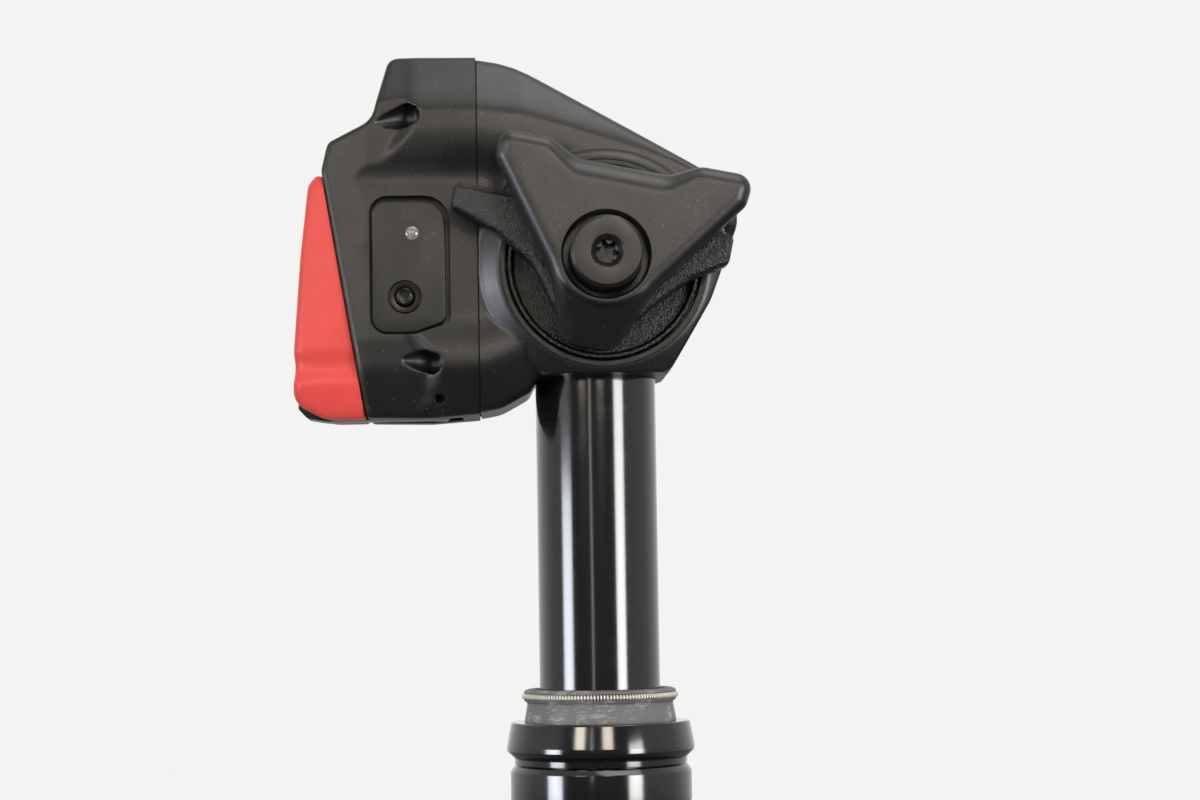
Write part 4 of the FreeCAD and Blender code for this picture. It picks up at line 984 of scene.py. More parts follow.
@dataclass
class Head:
    """Cast head: stanchion socket, round bezels of the rail clamp and the hollow back."""

    side: SideForm
    outline: tuple[Corner, ...] = (     # x, height and corner radius, clockwise from the seam's foot
        (-26.0, -6.8, 0), (-20.5, -6.4, 8.0), (-17.2, -5.8, 6.0), (-12.2, -3.0, 1.5), (-10.6, 0, 0.8),
        (12.8, 0, 0.8), (15.4, 4.3, 6.0), (20.4, 12.8, 10.0), (25.6, 26.5, 5.0), (25.4, 33.1, 3.0),
        (-15.6, 57.2, 22.0), (-26.0, 58.2, 0),
    )
    full: float = 15.2
    rim: float = 1.5
    bezel_half: float = 16.6
    bezel_r: float = 18.9
    bezel_foot_r: float = 22.4
    bush_r: float = 18.65
    bush_bore_r: float = 17.5
    socket_r: float = 11.02
    axle_bore_r: float = 6.05
    rooms: tuple[tuple[float, ...], ...] = (        # front x, half width, foot and top of each inner room
        (-14.5, 6.5, -1.0, 11.0), (-1.5, 8.0, 40.0, 45.5),
    )
    body: str = "upper_post"

    def skin(self) -> bpy.types.Object:
        """Outer skin with its bezels, before it is bored."""
        block = blank("head", self.outline, self.full, self.rim, 0.4)
        self.side.apply(block, self.full)
        foot = self.side.flat - 0.6
        bezel = turned("bezel", rounded([
            (0, -self.bezel_half, 0), (self.bezel_r, -self.bezel_half, 0.5),
            (self.bezel_foot_r - 0.3, -foot - 1.0, 0.8), (self.bezel_foot_r, -foot, 0.3),
            (self.bezel_foot_r, foot, 0.3), (self.bezel_foot_r - 0.3, foot + 1.0, 0.8),
            (self.bezel_r, self.bezel_half, 0.5), (0, self.bezel_half, 0),
        ]), Axis.Y, PIVOT)
        trim(bezel, across("limit", self.outline, self.bezel_half + 1))
        fuse(block, bezel)
        cast(block, 0.34, 6)
        thin(block, 0.7)
        return block

    def bore(self, piece: bpy.types.Object) -> None:
        """Cuts the seam face, the drum recesses, the socket, the rooms and the screw holes."""
        socket_top = high("stanchion").z + FIT
        cut(piece, room(-60.0, SEAM_X, REACH, HEAD_BASE - 20, HEAD_BASE + 70))
        cut_sides(piece, self.bush_r + FIT, low("cradle_left").y - 0.2, REACH, PIVOT)
        cut(piece, rod("axle_bore", self.axle_bore_r, Axis.Y, -REACH, REACH, PIVOT))
        cut(piece, rod("socket", self.socket_r, Axis.Z, HEAD_BASE - 10, socket_top, Vector((0, 0, 0))))
        cut(piece, rod("rod_bore", ROD_BORE_R, Axis.X, SEAM_X - 1, 0, ROD_AXIS))
        for x_end, half, z_low, z_high in self.rooms:
            cut(piece, room(SEAM_X - 1, x_end, half, HEAD_BASE + z_low, HEAD_BASE + z_high))
        for _, y, z in SCREW_SEATS:
            cut(piece, rod("screw_hole", SCREW_HOLE_R, Axis.X, SEAM_X - 1, SEAM_X + 10, Vector((0, y, z))))

    def bushes(self) -> None:
        """Bush round each clamp drum, sunk a little below the bezel."""
        rings = []
        inner, outer = low("cradle_left").y - 0.18, self.bezel_half - 0.15
        for side in (-1, 1):
            rings.append(turned("bush", rounded([
                (self.bush_bore_r, side * inner, 0), (self.bush_r, side * inner, 0),
                (self.bush_r, side * outer, 0.2), (self.bush_bore_r, side * outer, 0.3),
            ]), Axis.Y, PIVOT, 160))
        finish(joined("bushes", rings), "drum_bushes", self.body, "bearing_polymer")

    def build(self) -> None:
        """Builds the head and its bushes."""
        skin = self.skin()
        self.bore(skin)
        finish(skin, "head_casting", self.body, "satin_black_metal", 30)
        self.bushes()


@dataclass
class ValveModule:
    """Housing behind the head, with its pockets, its bay for the battery, its screws and latch pin."""

    side: SideForm
    outline: tuple[Corner, ...] = (     # x, height and corner radius, clockwise from the seam's top
        (-14.0, 58.2, 0), (-36.9, 58.3, 2.2), (-40.0, 46.2, 4.0), (-48.0, 42.4, 1.8), (-49.2, 37.4, 1.0),
        (-48.7, 34.6, 0.5), (-41.5, -7.2, 0.6), (-30.0, -7.4, 8.0), (-14.0, -6.2, 0),
    )
    full: float = 15.2
    rim: float = 0.9
    seam_gap: float = 0.25
    bay_x: float = -41.6
    tongue_half: float = 10.5
    room_half: float = 11.2
    latch_half: float = 4.8
    upper_scoop: tuple[float, ...] = (-31.4, 47.1, -40.2, 45.2)     # x and height of deep end and tip
    lower_scoop: tuple[float, ...] = (-27.4, 2.5, -35.6, 2.8)
    gasket_windows: tuple[Triple, ...] = ((-1.4, 54.2, 7.6), (6.8, 32.2, 11.4))     # foot, top, half width
    body: str = "upper_post"

    def skin(self) -> bpy.types.Object:
        """Outer skin, before its pockets."""
        block = blank("module", self.outline, self.full, self.rim, 0.4)
        self.side.apply(block, self.full)
        cast(block, 0.3, 2)
        for spec in (self.upper_scoop, self.lower_scoop):
            cut(block, self.scoop(spec, 1), self.scoop(spec, -1))
        cast(block, 0.25, 4)
        thin(block, 0.6)
        return block

    def scoop(self, spec: tuple[float, ...], side: int) -> bpy.types.Object:
        """Tapering pocket through which a screw is reached, deep at its front end."""
        x_deep, z_deep, x_tip, z_tip = spec
        half = float(self.side.half(np.array([x_deep - 3.0]), np.array([z_deep]))[0])
        tip_half = float(self.side.half(np.array([x_tip]), np.array([z_tip]))[0])
        start = Vector((x_deep, side * (half - 1.1), HEAD_BASE + z_deep))
        end = Vector((x_tip, side * (tip_half + 0.9), HEAD_BASE + z_tip))
        length = (end - start).length
        piece = turned("scoop", rounded([
            (0, 0, 0), (2.1, 0, 0.8), (2.45, 1.8, 1.4), (1.75, 4.6, 6.0), (0.5, length, 0.2), (0, length, 0),
        ]), Axis.X, steps=48)
        turn = Vector((1, 0, 0)).rotation_difference(end - start).to_matrix().to_4x4()
        piece.data.transform(Matrix.Translation(start) @ turn)
        return piece

    def recess(self) -> bpy.types.Object:
        """Recess of the control panel, with a chamfered lip."""
        seat = rounded(panel_outline(0.6, 0.28))
        lip = rounded(panel_outline(1.05, 0.28))
        floor = high("control_panel").y + FIT
        piece = prism("recess", seat, Axis.Y, -self.side.flat + 0.25, floor)
        fuse(piece, prism("lip", lip, Axis.Y, -20.0, -self.side.flat + 0.3, seat))
        return piece

    def bore(self, piece: bpy.types.Object) -> None:
        """Cuts the seam face, the rooms, the battery's bay, the latch's slot and every pocket."""
        cut(piece, room(SEAM_X - self.seam_gap, 20.0, REACH, HEAD_BASE - 20, HEAD_BASE + 70))
        rooms = (       # rear x, front x, half width, foot and top of each
            (self.bay_x + 2.0, 0.0, self.room_half, 7.0, 32.0), (self.bay_x + 2.0, 0.0, 7.2, -1.2, 7.1),
            (-35.0, 0.0, 7.6, 31.9, 54.0), (-60.0, self.bay_x, self.tongue_half, -3.2, 34.8),
            (-60.0, -24.3, self.latch_half, -12.0, -2.0),
        )
        for x_low, x_high, half, z_low, z_high in rooms:
            cut(piece, room(x_low, x_high, half, HEAD_BASE + z_low, HEAD_BASE + z_high))
        cut(piece, self.recess())
        window = rounded(panel_outline(-1.2, 0.0))
        cut(piece, prism("window", window, Axis.Y, PANEL_FACE - 2, -self.room_half + 1))
        for x, y, z in SCREW_SEATS:
            cut(piece, rod("head_room", 2.0, Axis.X, x + 1.25, x + 2.35, Vector((0, y, z))))
            cut(piece, rod("screw_hole", SCREW_HOLE_R, Axis.X, x + 2.0, 0, Vector((0, y, z))))
        cut(piece, rod("pin_hole", PIN_HOLE_R, Axis.Y, -REACH, REACH, LATCH_AXIS))
        for height in (12.0, 21.0):
            place = Vector((0, 0, HEAD_BASE + height))
            cut(piece, rod("contact_hole", 0.92, Axis.X, self.bay_x - 1, self.bay_x + 3, place))

    def screws(self) -> None:
        """Four module screws with hexagon sockets."""
        made = []
        end = SEAM_X + 9.5
        for x, y, z in SCREW_SEATS:
            screw = turned("screw", rounded([
                (0, x + 1.3, 0), (1.95, x + 1.3, 0.2), (1.95, x + 2.3, 0.1), (1.25, x + 2.3, 0),
                (1.25, end, 0.3), (0, end, 0),
            ]), Axis.X, Vector((0, y, z)), 48)
            cut(screw, prism("hexagon", circle(1.15, y, z, 6), Axis.X, x - 3, x + 2.0))
            made.append(screw)
        finish(joined("screws", made), "module_screws", self.body, "black_oxide")

    def gasket(self) -> None:
        """Thin gasket that closes the seam a little inside the skin."""
        heights = np.linspace(-5.9, 57.6, 60)
        halves = self.side.half(np.full_like(heights, SEAM_X), heights) - 0.45
        right = [(-half, HEAD_BASE + z) for half, z in zip(halves, heights)]
        left = [(-y, z) for y, z in reversed(right)]
        piece = prism("gasket", right + left, Axis.X, SEAM_X - self.seam_gap, SEAM_X)
        for low_z, high_z, half in self.gasket_windows:
            cut(piece, room(SEAM_X - 2, SEAM_X + 2, half, HEAD_BASE + low_z, HEAD_BASE + high_z))
        for _, y, z in SCREW_SEATS:
            cut(piece, rod("screw_hole", 1.3, Axis.X, SEAM_X - 2, SEAM_X + 2, Vector((0, y, z))))
        finish(piece, "module_gasket", self.body, "black_rubber", 30)

    def build(self) -> None:
        """Builds the housing, its screws and its gasket."""
        skin = self.skin()
        self.bore(skin)
        finish(skin, "module_housing", self.body, "module_black", 30)
        self.screws()
        self.gasket()


def panel_outline(grow: float, shift: float) -> list[Corner]:
    """Corners of the control panel's outline.

    Args:
        grow: Distance by which it is larger all round.
        shift: Distance by which it is moved forwards and up.

    Returns:
        Corners with their radii.
    """
    back, front, foot, top = -40.2, -27.0, 7.8, 31.5
    corners = [
        (back - grow, foot - grow, 2.6 + grow), (front - 5.6, foot - grow, 3.0),
        (front + grow, foot + 2.0 - grow, 1.8), (front + grow, top + grow, 4.2 + grow),
        (back - grow, top + grow, 2.6 + grow),
    ]
    return above_base([(x + shift, z + shift, radius) for x, z, radius in corners])


@dataclass
class ControlPanel:
    """Inset panel with the status lamp and the button; its face is bare."""

    lamp: Point = (-32.9, 25.7)
    lamp_r: float = 1.25
    button: Point = (-34.3, 14.2)
    button_r: float = 1.6
    ring_r: float = 2.9
    thick: float = 1.8
    stands: float = 0.9
    body: str = "upper_post"

    def place(self, at: Point) -> Vector:
        """Point on the panel's face."""
        return Vector((at[0], PANEL_FACE, HEAD_BASE + at[1]))

    def panel(self) -> None:
        """Panel plate with a softened edge and its two holes."""
        piece = prism("panel", rounded(panel_outline(0, 0)), Axis.Y, PANEL_FACE, PANEL_FACE + self.thick)
        bevel(piece, 0.22, 3, 50)
        button, lamp = self.place(self.button), self.place(self.lamp)
        cut(piece, rod("ring_seat", self.ring_r + 0.12, Axis.Y, -1.0, 0.9, button))
        cut(piece, rod("button_hole", self.button_r + 0.35, Axis.Y, -1.0, 4.0, button))
        cut(piece, rod("lamp_hole", self.lamp_r + FIT, Axis.Y, -1.0, 4.0, lamp))
        finish(piece, "control_panel", self.body, "panel_black", 30)

    def ring(self) -> None:
        """Surround of the button: a shallow dish between two fine edges."""
        inner, outer = self.button_r + 0.12, self.ring_r
        piece = turned("ring", rounded([
            (inner, 0.88, 0), (inner, 0.24, 0.08), (inner + 0.2, 0.1, 0.1), (outer - 0.16, 0.06, 0.08),
            (outer, 0.18, 0.05), (outer, 0.88, 0),
        ]), Axis.Y, self.place(self.button), 64)
        finish(piece, "button_ring", self.body, "button_black")

    def cap(self) -> None:
        """Button with a round edge, a dimpled face and the collar that keeps it in."""
        front, back = -self.stands, 2.4
        radius, flange = self.button_r, self.thick + 0.05
        piece = turned("cap", rounded([
            (0, front + 0.2, 0), (radius * 0.66, front + 0.16, 0.3), (radius * 0.8, front, 0.12),
            (radius, front + 0.3, 0.12), (radius, flange, 0), (radius + 0.9, flange, 0),
            (radius + 0.9, back, 0), (0, back, 0),
        ]), Axis.Y, self.place(self.button), 64)
        finish(piece, "button_cap", "button", "button_black", 45)

    def lens(self) -> None:
        """Domed lens of the status lamp."""
        radius, rise = self.lamp_r, 0.42
        curve = (radius ** 2 + rise ** 2) / (2 * rise)
        dome = []
        for i in range(9):
            r = radius * i / 8
            dome.append((r, curve - rise - math.sqrt(curve ** 2 - r ** 2)))
        piece = turned("lens", [(0, 2.2), *dome, (radius, 2.2)], Axis.Y, self.place(self.lamp), 48)
        finish(piece, "led_lens", self.body, "lamp_lens", 60)

    def build(self) -> None:
        """Builds the panel, the button, its surround and the lamp's lens."""
        self.panel()
        self.ring()
        self.cap()
        self.lens()


# ---------------------------------------------------------------- rail clamp
@dataclass
class RailClamp:
    """Clamp of the saddle rails: two cradles, two outer plates, bolt, washer and barrel nut.

    Pieces are modelled level about the clamp's axis and then tipped onto the pivot.
    """

    drum_r: float = 17.2
    drum_rim: float = 0.7
    drum_face: float = 16.2
    pocket: float = 1.5
    hub_r: float = 10.0
    arm_in: float = 16.9
    arm_out: float = 22.2
    rail: Point = (22.0, 11.0)              # y and z of the rail's middle, from the clamp's axis
    groove_r: float = 3.55
    plate_in: float = 19.4
    plate_out: float = 28.6
    counterbore_r: float = 7.5
    counterbore_floor: float = 24.6
    bolt_r: float = 6.35
    plate_edge: float = 2.6
    dip_roll: float = 4.2
    boss_r: float = 8.8
    tail_slope: float = 0.62
    arm: tuple[Corner, ...] = (             # x, z and corner radius, from the clamp's axis
        (-13.0, 13.4, 2.0), (-13.0, 8.8, 1.0), (-28.6, 8.9, 1.4), (-28.6, 3.9, 1.4), (-19.0, 0.6, 8.0),
        (-12.4, -3.3, 8.0), (-5.0, -13.0, 4.0), (-3.8, -15.8, 1.5), (3.8, -15.8, 1.5), (5.0, -13.0, 4.0),
        (9.6, -7.2, 8.0), (15.4, -0.8, 10.0), (21.8, 3.2, 1.5), (21.8, 8.8, 1.0), (13.0, 8.8, 1.0),
        (13.0, 13.4, 2.0),
    )
    plate: tuple[Corner, ...] = (           # the same for the outer plate
        (-23.0, 18.7, 2.8), (-22.3, 13.3, 2.0), (-8.9, -4.6, 12.0), (-4.4, -16.9, 1.6), (4.4, -16.9, 1.6),
        (9.4, -4.6, 12.0), (22.6, 13.3, 2.0), (23.2, 18.7, 2.8), (13.6, 18.6, 4.0), (8.0, 16.2, 5.0),
        (-8.0, 16.2, 5.0), (-13.4, 18.7, 4.0),
    )
    body: str = "rail_clamp"

    def tip(self, piece: bpy.types.Object) -> None:
        """Tips a level piece nose down and puts it on the pivot."""
        only(piece)
        piece.rotation_euler = (0, clamp_tilt(), 0)
        piece.location = PIVOT
        bpy.ops.object.transform_apply(location=True, rotation=True, scale=True)

    def groove(self) -> bpy.types.Object:
        """Space of the saddle rail."""
        return rod("rail", self.groove_r, Axis.X, -40, 40, Vector((0, *self.rail)))

    def cradle(self) -> bpy.types.Object:
        """Drum with its cast pocket, hub and the arm under the rail, on the rider's left."""
        floor = low("cradle_left").y
        drum = turned("drum", rounded([
            (0, floor, 0), (self.drum_r, floor, 0.2), (self.drum_r, self.drum_face, 0.35),
            (self.drum_r - self.drum_rim, self.drum_face, 0.2),
            (self.drum_r - self.drum_rim - 0.3, self.drum_face - self.pocket, 0.4),
            (self.hub_r, self.drum_face - self.pocket, 0.6), (self.hub_r, self.arm_in + 0.5, 0),
            (0, self.arm_in + 0.5, 0),
        ]), Axis.Y, steps=160)
        outline = rounded(self.arm)
        arm = prism("arm", outline, Axis.Y, self.arm_in, self.arm_out)
        cast(arm, 0.28, 0)
        round_rim(arm, outline, self.arm_in, self.arm_out, 1.1, 0.5)
        cast(arm, 0.26, 3)
        thin(arm, 0.6)
        fuse(arm, drum)
        cut(arm, self.groove(), rod("axle_hole", 6.02, Axis.Y, 0, 40, Vector((0, 0, 0))))
        return arm

    def plate_front(self, places: np.ndarray) -> np.ndarray:
        """Rounds the plate's front rim, widest over its low middle, and slopes its tail away.

        What lies behind the front moves less, down to nothing at the inner face.
        """
        u, y, w = places.T
        depth = self.plate_out - self.plate_in
        middle = smoothstep(14.0, 7.0, np.abs(u)) * smoothstep(5.0, 10.0, w)
        reach = self.plate_edge + (self.dip_roll - self.plate_edge) * middle
        short = np.clip(reach - inset(rounded(self.plate), u, w), 0.0, reach)
        rolled = reach - np.sqrt(reach ** 2 - short ** 2)
        boss = smoothstep(self.boss_r + 0.5, self.boss_r - 0.2, np.hypot(u, w))
        tail = np.minimum(roll(-4.6 - w, self.tail_slope, 3.0) * (1 - boss), depth - 3.0)
        share = np.clip((y - self.plate_in) / depth, 0.0, 1.0)
        places[:, 1] = np.minimum(y, self.plate_out - rolled) - tail * share
        return places

    def outer_plate(self) -> bpy.types.Object:
        """Outer plate on the rider's left: ears over the rail, low middle, round boss and sloping tail."""
        out, inner = self.plate_out, self.plate_in
        outline = rounded(self.plate)
        piece = prism("plate", outline, Axis.Y, inner, out)
        cast(piece, 0.28, 0)
        round_rim(piece, outline, inner, out, 0.05, 0.6)
        reshape(piece, self.plate_front)
        cast(piece, 0.25, 7)
        thin(piece, 0.6)
        rail_y, rail_z = self.rail
        relief = [(0.0, -30.0), (rail_y + 0.5, -30.0), (rail_y + 0.5, rail_z), (0.0, rail_z)]
        cut(piece, prism("relief", relief, Axis.X, -40, 40), self.groove())
        cut(piece, turned("counterbore", [
            (0, self.counterbore_floor), (self.counterbore_r, self.counterbore_floor),
            (self.counterbore_r, out - 0.45), (self.counterbore_r + 0.22, out - 0.15),
            (self.counterbore_r + 0.6, out + 0.15), (self.counterbore_r + 0.6, out + 5), (0, out + 5),
        ], Axis.Y))
        cut(piece, rod("bolt_hole", 4.15, Axis.Y, 0, 40, Vector((0, 0, 0))))
        return piece

    def bolt(self) -> None:
        """Clamp bolt: chamfered head with a conical mouth and a six-lobed socket."""
        face, radius = low("clamp_bolt").y, self.bolt_r
        seat = face + 7.0
        piece = turned("bolt", rounded([
            (0, face + 1.1, 0), (1.9, face + 1.1, 0), (2.6, face + 0.3, 0.2), (2.9, face, 0.2),
            (radius - 0.55, face, 0.15), (radius, face + 0.5, 0.2), (radius, seat, 0.2), (3.0, seat, 0.2),
            (3.0, 21.6, 0.3), (2.6, 22.0, 0), (0, 22.0, 0),
        ]), Axis.Y, steps=96)
        turns = [2 * math.pi * i / 72 for i in range(72)]
        reaches = [1.72 + 0.42 * math.cos(6 * turn) for turn in turns]
        lobes = [(reach * math.cos(turn), reach * math.sin(turn)) for reach, turn in zip(reaches, turns)]
        cut(piece, prism("socket", lobes, Axis.Y, face - 1, face + 3.6))
        self.tip(piece)
        finish(piece, "clamp_bolt", self.body, "black_oxide", 30)

    def washer(self) -> None:
        """Washer under the bolt's head."""
        seat = -self.counterbore_floor
        piece = turned("washer", rounded([
            (3.2, seat - 1.58, 0.1), (6.5, seat - 1.58, 0.3), (6.5, seat, 0.2), (3.2, seat, 0),
        ]), Axis.Y, steps=96)
        self.tip(piece)
        finish(piece, "bolt_washer", self.body, "black_oxide")

    def nut(self) -> None:
        """Barrel nut: chamfered head and plain sleeve."""
        floor, face = self.counterbore_floor + FIT, self.counterbore_floor + 4.6
        piece = turned("nut", rounded([
            (3.05, 8.0, 0), (4.0, 8.0, 0.3), (4.0, floor, 0), (self.bolt_r, floor, 0.2),
            (self.bolt_r, face - 0.6, 0.2), (self.bolt_r - 0.6, face, 0.2), (2.4, face, 0.3),
            (2.0, face - 0.8, 0.2), (0, face - 0.8, 0), (0, face - 1.8, 0), (3.05, face - 1.8, 0),
        ]), Axis.Y, steps=96)
        self.tip(piece)
        finish(piece, "barrel_nut", self.body, "black_oxide")

    def build(self) -> None:
        """Builds both sides of the clamp and its fasteners."""
        for make, node, slot, angle in (
            (self.cradle, "cradle", "rough_black_metal", 35),
            (self.outer_plate, "outer_plate", "satin_black_metal", 30),
        ):
            left = make()
            right = copied(left, node + "_mirror", MIRROR)
            for piece, side in ((left, "left"), (right, "right")):
                self.tip(piece)
                finish(piece, f"{node}_{side}", self.body, slot, angle)
        self.bolt()
        self.washer()
        self.nut()


# ---------------------------------------------------------------- battery and latch
@dataclass
class Battery:
    """Battery case behind the module: a skin with a shallow band round it and the tongue in the bay."""

    outline: tuple[Corner, ...] = (         # x, height and corner radius
        (-46.0, 35.4, 0.3), (-50.1, 37.0, 1.0), (-51.7, 35.0, 2.0), (-53.2, 22.0, 20.0), (-54.6, 4.0, 20.0),
        (-54.7, -4.2, 3.6), (-49.0, -7.3, 8.0), (-41.75, -7.2, 0.3), (-40.0, 10.0, 0),
    )
    tongue: tuple[Corner, ...] = (
        (-42.0, -2.8, 0), (-42.0, 34.4, 1.0), (-50.0, 34.4, 0), (-50.8, 20.0, 0), (-46.5, -2.8, 0),
    )
    cell_room: tuple[Corner, ...] = (
        (-40.0, -1.6, 0), (-40.0, 33.0, 0), (-50.6, 33.0, 1.5), (-51.6, 20.0, 0), (-52.2, -1.6, 1.5),
    )
    channel: tuple[Corner, ...] = (
        (-40.0, -12.0, 0), (-40.0, -5.1, 0), (-51.0, -5.1, 0), (-52.0, -3.5, 0), (-60.0, -3.5, 0),
        (-60.0, -12.0, 0),
    )
    seam: tuple[Point, Point] = ((-48.95, 35.4), (-41.75, -7.2))        # ends of the sloping front face
    half: float = 12.4
    rim: float = 1.6
    tongue_half: float = 10.2
    contact_x: float = -42.0
    wall: float = 1.3
    band_at: float = 1.8
    band_depth: float = 0.8
    latch_half: float = 4.8
    body: str = "battery"

    def widths(self, places: np.ndarray) -> np.ndarray:
        """Narrows the block rearwards, at its foot and along the band, and sinks the band in its back."""
        x, height = places[:, 0], places[:, 2] - HEAD_BASE
        taper = roll(-45.5 - x, 0.3, 5.0) + 0.02 * np.maximum(-41.0 - x, 0)
        under = roll(1.0 - height, 0.42, 3.0)
        top = roll(height - 33.0, 0.3, 2.0)
        from_band = height - self.band_at
        band = self.band_depth * smoothstep(-3.2, -0.2, from_band) * smoothstep(3.6, 0.4, from_band)
        depth = smoothstep(-48.5, -52.5, x)
        places[:, 1] *= (self.half - taper - under - top - band) / self.half
        places[:, 0] += 0.4 * band * depth
        return places

    def face_x(self, height: float) -> float:
        """Place of the case's sloping front face at a height."""
        (x_top, z_top), (x_foot, z_foot) = self.seam
        return x_top + (x_foot - x_top) / (z_foot - z_top) * (height - z_top)

    def build(self) -> None:
        """Builds the case with its tongue, hollow for the cells and channelled below for the latch."""
        piece = blank("case", self.outline, self.half, self.rim, 0.3)
        reshape(piece, self.widths)
        cast(piece, 0.27, 9)
        thin(piece, 0.7)
        top, foot = 60.0, -30.0
        before_face = [
            (self.face_x(top), top, 0), (0.0, top, 0), (0.0, foot, 0), (self.face_x(foot), foot, 0),
        ]
        cut(piece, across("before_face", before_face, REACH))
        fuse(piece, across("tongue", self.tongue, self.tongue_half))
        cut(piece, across("cell_room", self.cell_room, self.tongue_half - self.wall))
        lid_low, lid_high = low("battery_lid").z - FIT, high("battery_lid").z + FIT
        cut(piece, room(self.contact_x - 1.0, -39.0, self.tongue_half - 0.6, lid_low, lid_high))
        cut(piece, across("channel", self.channel, self.latch_half))
        finish(piece, "battery_case", self.body, "battery_red", 30)


@dataclass
class Latch:
    """Latch under the battery: barrel round its pin, flat tongue and hook."""

    outline: tuple[Corner, ...] = (         # x, height and corner radius
        (-26.8, -7.15, 0.6), (-26.8, -3.3, 0.6), (-30.9, -2.9, 1.0), (-33.3, -5.4, 2.0), (-50.8, -5.4, 0.3),
        (-52.0, -3.85, 0.2), (-54.0, -3.85, 0.4), (-54.2, -5.0, 1.0), (-52.6, -6.7, 1.4), (-49.0, -7.3, 6.0),
        (-42.0, -7.15, 10.0),
    )
    half: float = 4.5
    body: str = "battery_latch"

    def build(self) -> None:
        """Builds the latch with softened edges and its pin hole."""
        piece = across("latch", self.outline, self.half)
        bevel(piece, 0.3, 3, 40)
        cut(piece, rod("pin_hole", PIN_HOLE_R, Axis.Y, -REACH, REACH, LATCH_AXIS))
        finish(piece, "battery_latch", self.body, "battery_black", 30)
        self.pin()

    def pin(self) -> None:
        """Hollow-ended pin on which the latch swings."""
        end = high("latch_pin").y
        piece = rod("pin", PIN_HOLE_R - FIT, Axis.Y, low("latch_pin").y, end, LATCH_AXIS)
        cut_sides(piece, 0.82, end - 4.0, end + 1.0, LATCH_AXIS)
        finish(piece, "latch_pin", "upper_post", "black_oxide")


# ---------------------------------------------------------------- inner works
@dataclass
class InnerWorks:
    """CAD pieces whose shape is already right, which only get their finishes."""

    slots: dict[str, tuple[str, ...]] = field(default_factory=lambda: {
        "black_rubber": ("plug_ring", "piston_ring", "top_out_bumper", "bottom_out_bumper", "seal_head_rings",
                         "valve_body_ring"),
        "foam": ("foam_ring",),
        "bearing_polymer": ("upper_bushing", "glide_ring"),
        "clear_aluminium": ("end_plug", "inner_shaft", "main_piston", "seal_head", "valve_body", "gearbox"),
        "valve_brass": ("valve_core", "guide_keys", "air_valve"),
        "plain_steel": ("circlip", "piston_nut", "clamp_sleeve", "valve_rod", "motor"),
        "gold": ("contact_pins", "battery_contacts"),
        "board_green": ("circuit_board",),
        "part_white": ("status_led", "tact_switch"),
        "battery_black": ("battery_lid", "motor_bracket"),
        "cell_wrap": ("battery_cells",),
    })

    def build(self) -> None:
        """Gives every shown CAD node the material of its slot."""
        for slot, nodes in self.slots.items():
            for node in nodes:
                mesh = frame["nodes"][node].data
                mesh.materials.clear()
                mesh.materials.append(material(slot))
                log.info("%s: %s", node, slot)


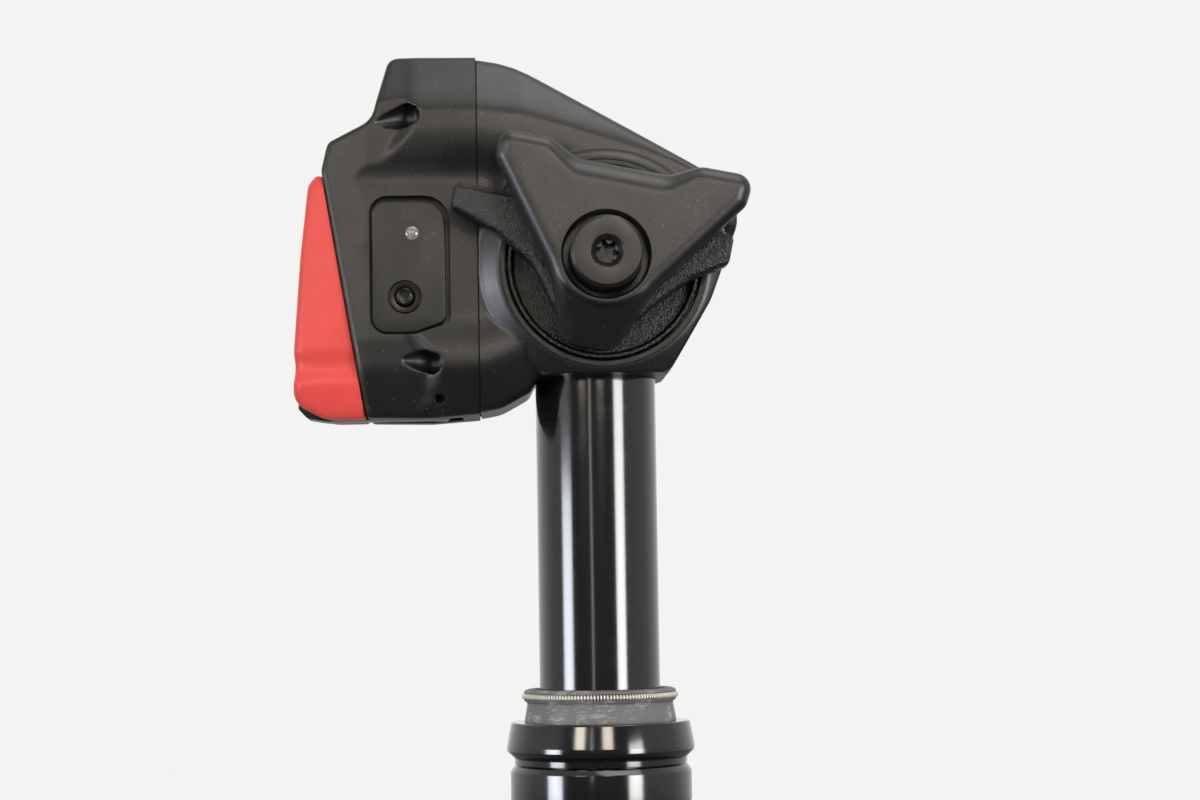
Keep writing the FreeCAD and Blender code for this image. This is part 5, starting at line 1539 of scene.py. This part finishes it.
# ---------------------------------------------------------------- studio
@dataclass
class Studio:
    """Pale floor, soft lights and the camera; angles are in degrees."""

    camera_at: Triple = (-17.32, -495.0, 280.75)
    lens: float = 81.0
    pitch: float = 3.92
    yaw: float = 2.1
    roll: float = 0.9
    aim: Triple = (-5.0, 0.0, 300.0)

    def camera(self) -> None:
        """Camera level with the post's upper end."""
        data = bpy.data.cameras.new("camera")
        data.lens, data.sensor_width = self.lens, 36.0
        data.clip_start, data.clip_end = 0.01, 50.0
        eye = bpy.data.objects.new("camera", data)
        bpy.context.scene.collection.objects.link(eye)
        pitch, yaw, turn = (math.radians(a) for a in (self.pitch, self.yaw, self.roll))
        ahead = Vector((math.sin(yaw) * math.cos(pitch), math.cos(yaw) * math.cos(pitch), math.sin(pitch)))
        level = ahead.cross(Vector((0, 0, 1))).normalized()
        above = level.cross(ahead)
        right = level * math.cos(turn) - above * math.sin(turn)
        up = above * math.cos(turn) + level * math.sin(turn)
        turned_to = Matrix((right, up, -ahead)).transposed()
        eye.matrix_world = Matrix.Translation(Vector(self.camera_at) * MM) @ turned_to.to_4x4()
        bpy.context.scene.camera = eye

    def light(
        self, name: str, azimuth: float, elevation: float, size: Point, power: float,
        colour: Colour = (1, 1, 1), spread: float = 180.0, distance: float = 1000.0,
    ) -> None:
        """Soft box aimed at the head of the post.

        Args:
            name: Name of the light.
            azimuth: Degrees round the post from the camera's side, to the right.
            elevation: Degrees above the horizon.
            size: Width and height in millimetres.
            power: Watts.
            colour: Colour of the light.
            spread: Angle of its beam in degrees.
            distance: Distance from the aim point.
        """
        data = bpy.data.lights.new(name, "AREA")
        data.shape = "RECTANGLE"
        data.size, data.size_y = size[0] * MM, size[1] * MM
        data.energy, data.color, data.spread = power, colour, math.radians(spread)
        lamp = bpy.data.objects.new(name, data)
        bpy.context.scene.collection.objects.link(lamp)
        a, e = math.radians(azimuth), math.radians(elevation)
        away = Vector((math.sin(a) * math.cos(e), -math.cos(a) * math.cos(e), math.sin(e)))
        lamp.location = (Vector(self.aim) + away * distance) * MM
        lamp.rotation_euler = (-away).to_track_quat("-Z", "Y").to_euler()
        lamp.visible_camera = False

    def lights(self) -> None:
        """Strips left and right, a narrow streak, two warm boxes above them and a top box."""
        self.light("strip_left", -62, -3.1, (360, 285), 0.41, (0.87, 0.91, 1.0), 60)
        self.light("strip_right", 42, 1, (320, 425), 0.56, (1.0, 0.98, 0.95), 60)
        self.light("streak", -13, 8, (55, 420), 0.18, (1.0, 0.97, 0.93))
        self.light("box_left", -28, 17.5, (215, 245), 0.175, (1.0, 0.9, 0.76), 60)
        self.light("box_right", 7, 17.5, (215, 245), 0.16, (1.0, 0.9, 0.76), 60)
        self.light("top", 40, 68, (700, 700), 1.45, (1.0, 0.97, 0.93), 120)

    def world(self) -> None:
        """Surroundings that are pale behind the post and darker towards the camera, and a pale backdrop."""
        world = bpy.data.worlds.new("studio")
        world.use_nodes = True
        bpy.context.scene.world = world
        nodes, links = world.node_tree.nodes, world.node_tree.links
        ground = nodes["Background"]
        shown = preset(nodes.new("ShaderNodeBackground"), {"Color": (0.905, 0.897, 0.885, 1)})
        place = nodes.new("ShaderNodeTexCoord")
        split = nodes.new("ShaderNodeSeparateXYZ")
        links.new(place.outputs["Generated"], split.inputs[0])
        shades = nodes.new("ShaderNodeValToRGB")
        stops = shades.color_ramp.elements
        for position, level in ((0.15, 0.1), (0.24, 0.42), (0.6, 0.5)):
            stops.new(position).color = (level, level, level, 1)
        stops[0].color, stops[-1].color = (0.12, 0.12, 0.12, 1), (1.1, 1.09, 1.07, 1)
        spread = preset(nodes.new("ShaderNodeMapRange"), {"From Min": -1.0})
        links.new(split.outputs["Y"], spread.inputs["Value"])
        links.new(spread.outputs["Result"], shades.inputs["Fac"])
        links.new(shades.outputs["Color"], ground.inputs["Color"])
        below = preset(nodes.new("ShaderNodeMapRange"), {"From Min": -0.3, "From Max": -0.02, "To Min": 0.18})
        links.new(split.outputs["Z"], below.inputs["Value"])
        links.new(below.outputs["Result"], ground.inputs["Strength"])
        rays = nodes.new("ShaderNodeLightPath")
        mix = nodes.new("ShaderNodeMixShader")
        links.new(rays.outputs["Is Camera Ray"], mix.inputs["Fac"])
        links.new(ground.outputs[0], mix.inputs[1])
        links.new(shown.outputs[0], mix.inputs[2])
        links.new(mix.outputs[0], nodes["World Output"].inputs["Surface"])

    def floor(self) -> None:
        """Plain pale floor under the post."""
        bpy.ops.object.select_all(action="DESELECT")
        bpy.ops.mesh.primitive_circle_add(vertices=96, radius=0.45, fill_type="NGON", location=(0, 0, 0))
        ground = bpy.context.object
        ground.name = "floor"
        ground.data.transform(Matrix.Translation((0, 0, low("valve_cap").z * MM - 0.0005)))
        tree = Tree("floor")
        cloud = tree.band(tree.noise(400.0, 2.0), 0.3, 0.7)
        colour = tree.blend(cloud, (0.56, 0.555, 0.545), (0.6, 0.595, 0.585))
        tree.wire(colour, tree.shader.inputs["Base Color"])
        preset(tree.shader, {"Roughness": 0.75})
        ground.data.materials.append(tree.material)
        ground.visible_glossy = False

    def build(self) -> None:
        """Sets up the floor, the world, the lights and the camera."""
        bpy.context.scene.view_settings.view_transform = "Standard"
        self.floor()
        self.world()
        self.lights()
        self.camera()


def main() -> None:
    """Builds the whole post and the studio round it."""
    logging.basicConfig(level=logging.INFO, format="%(name)s: %(message)s")
    side = SideForm()
    for part in (
        LowerPost(), UpperPost(), Head(side), ValveModule(side), ControlPanel(), RailClamp(), Battery(),
        Latch(), InnerWorks(), Studio(),
    ):
        log.info("building %s", type(part).__name__)
        part.build()


if __name__ == "__main__":
    main()
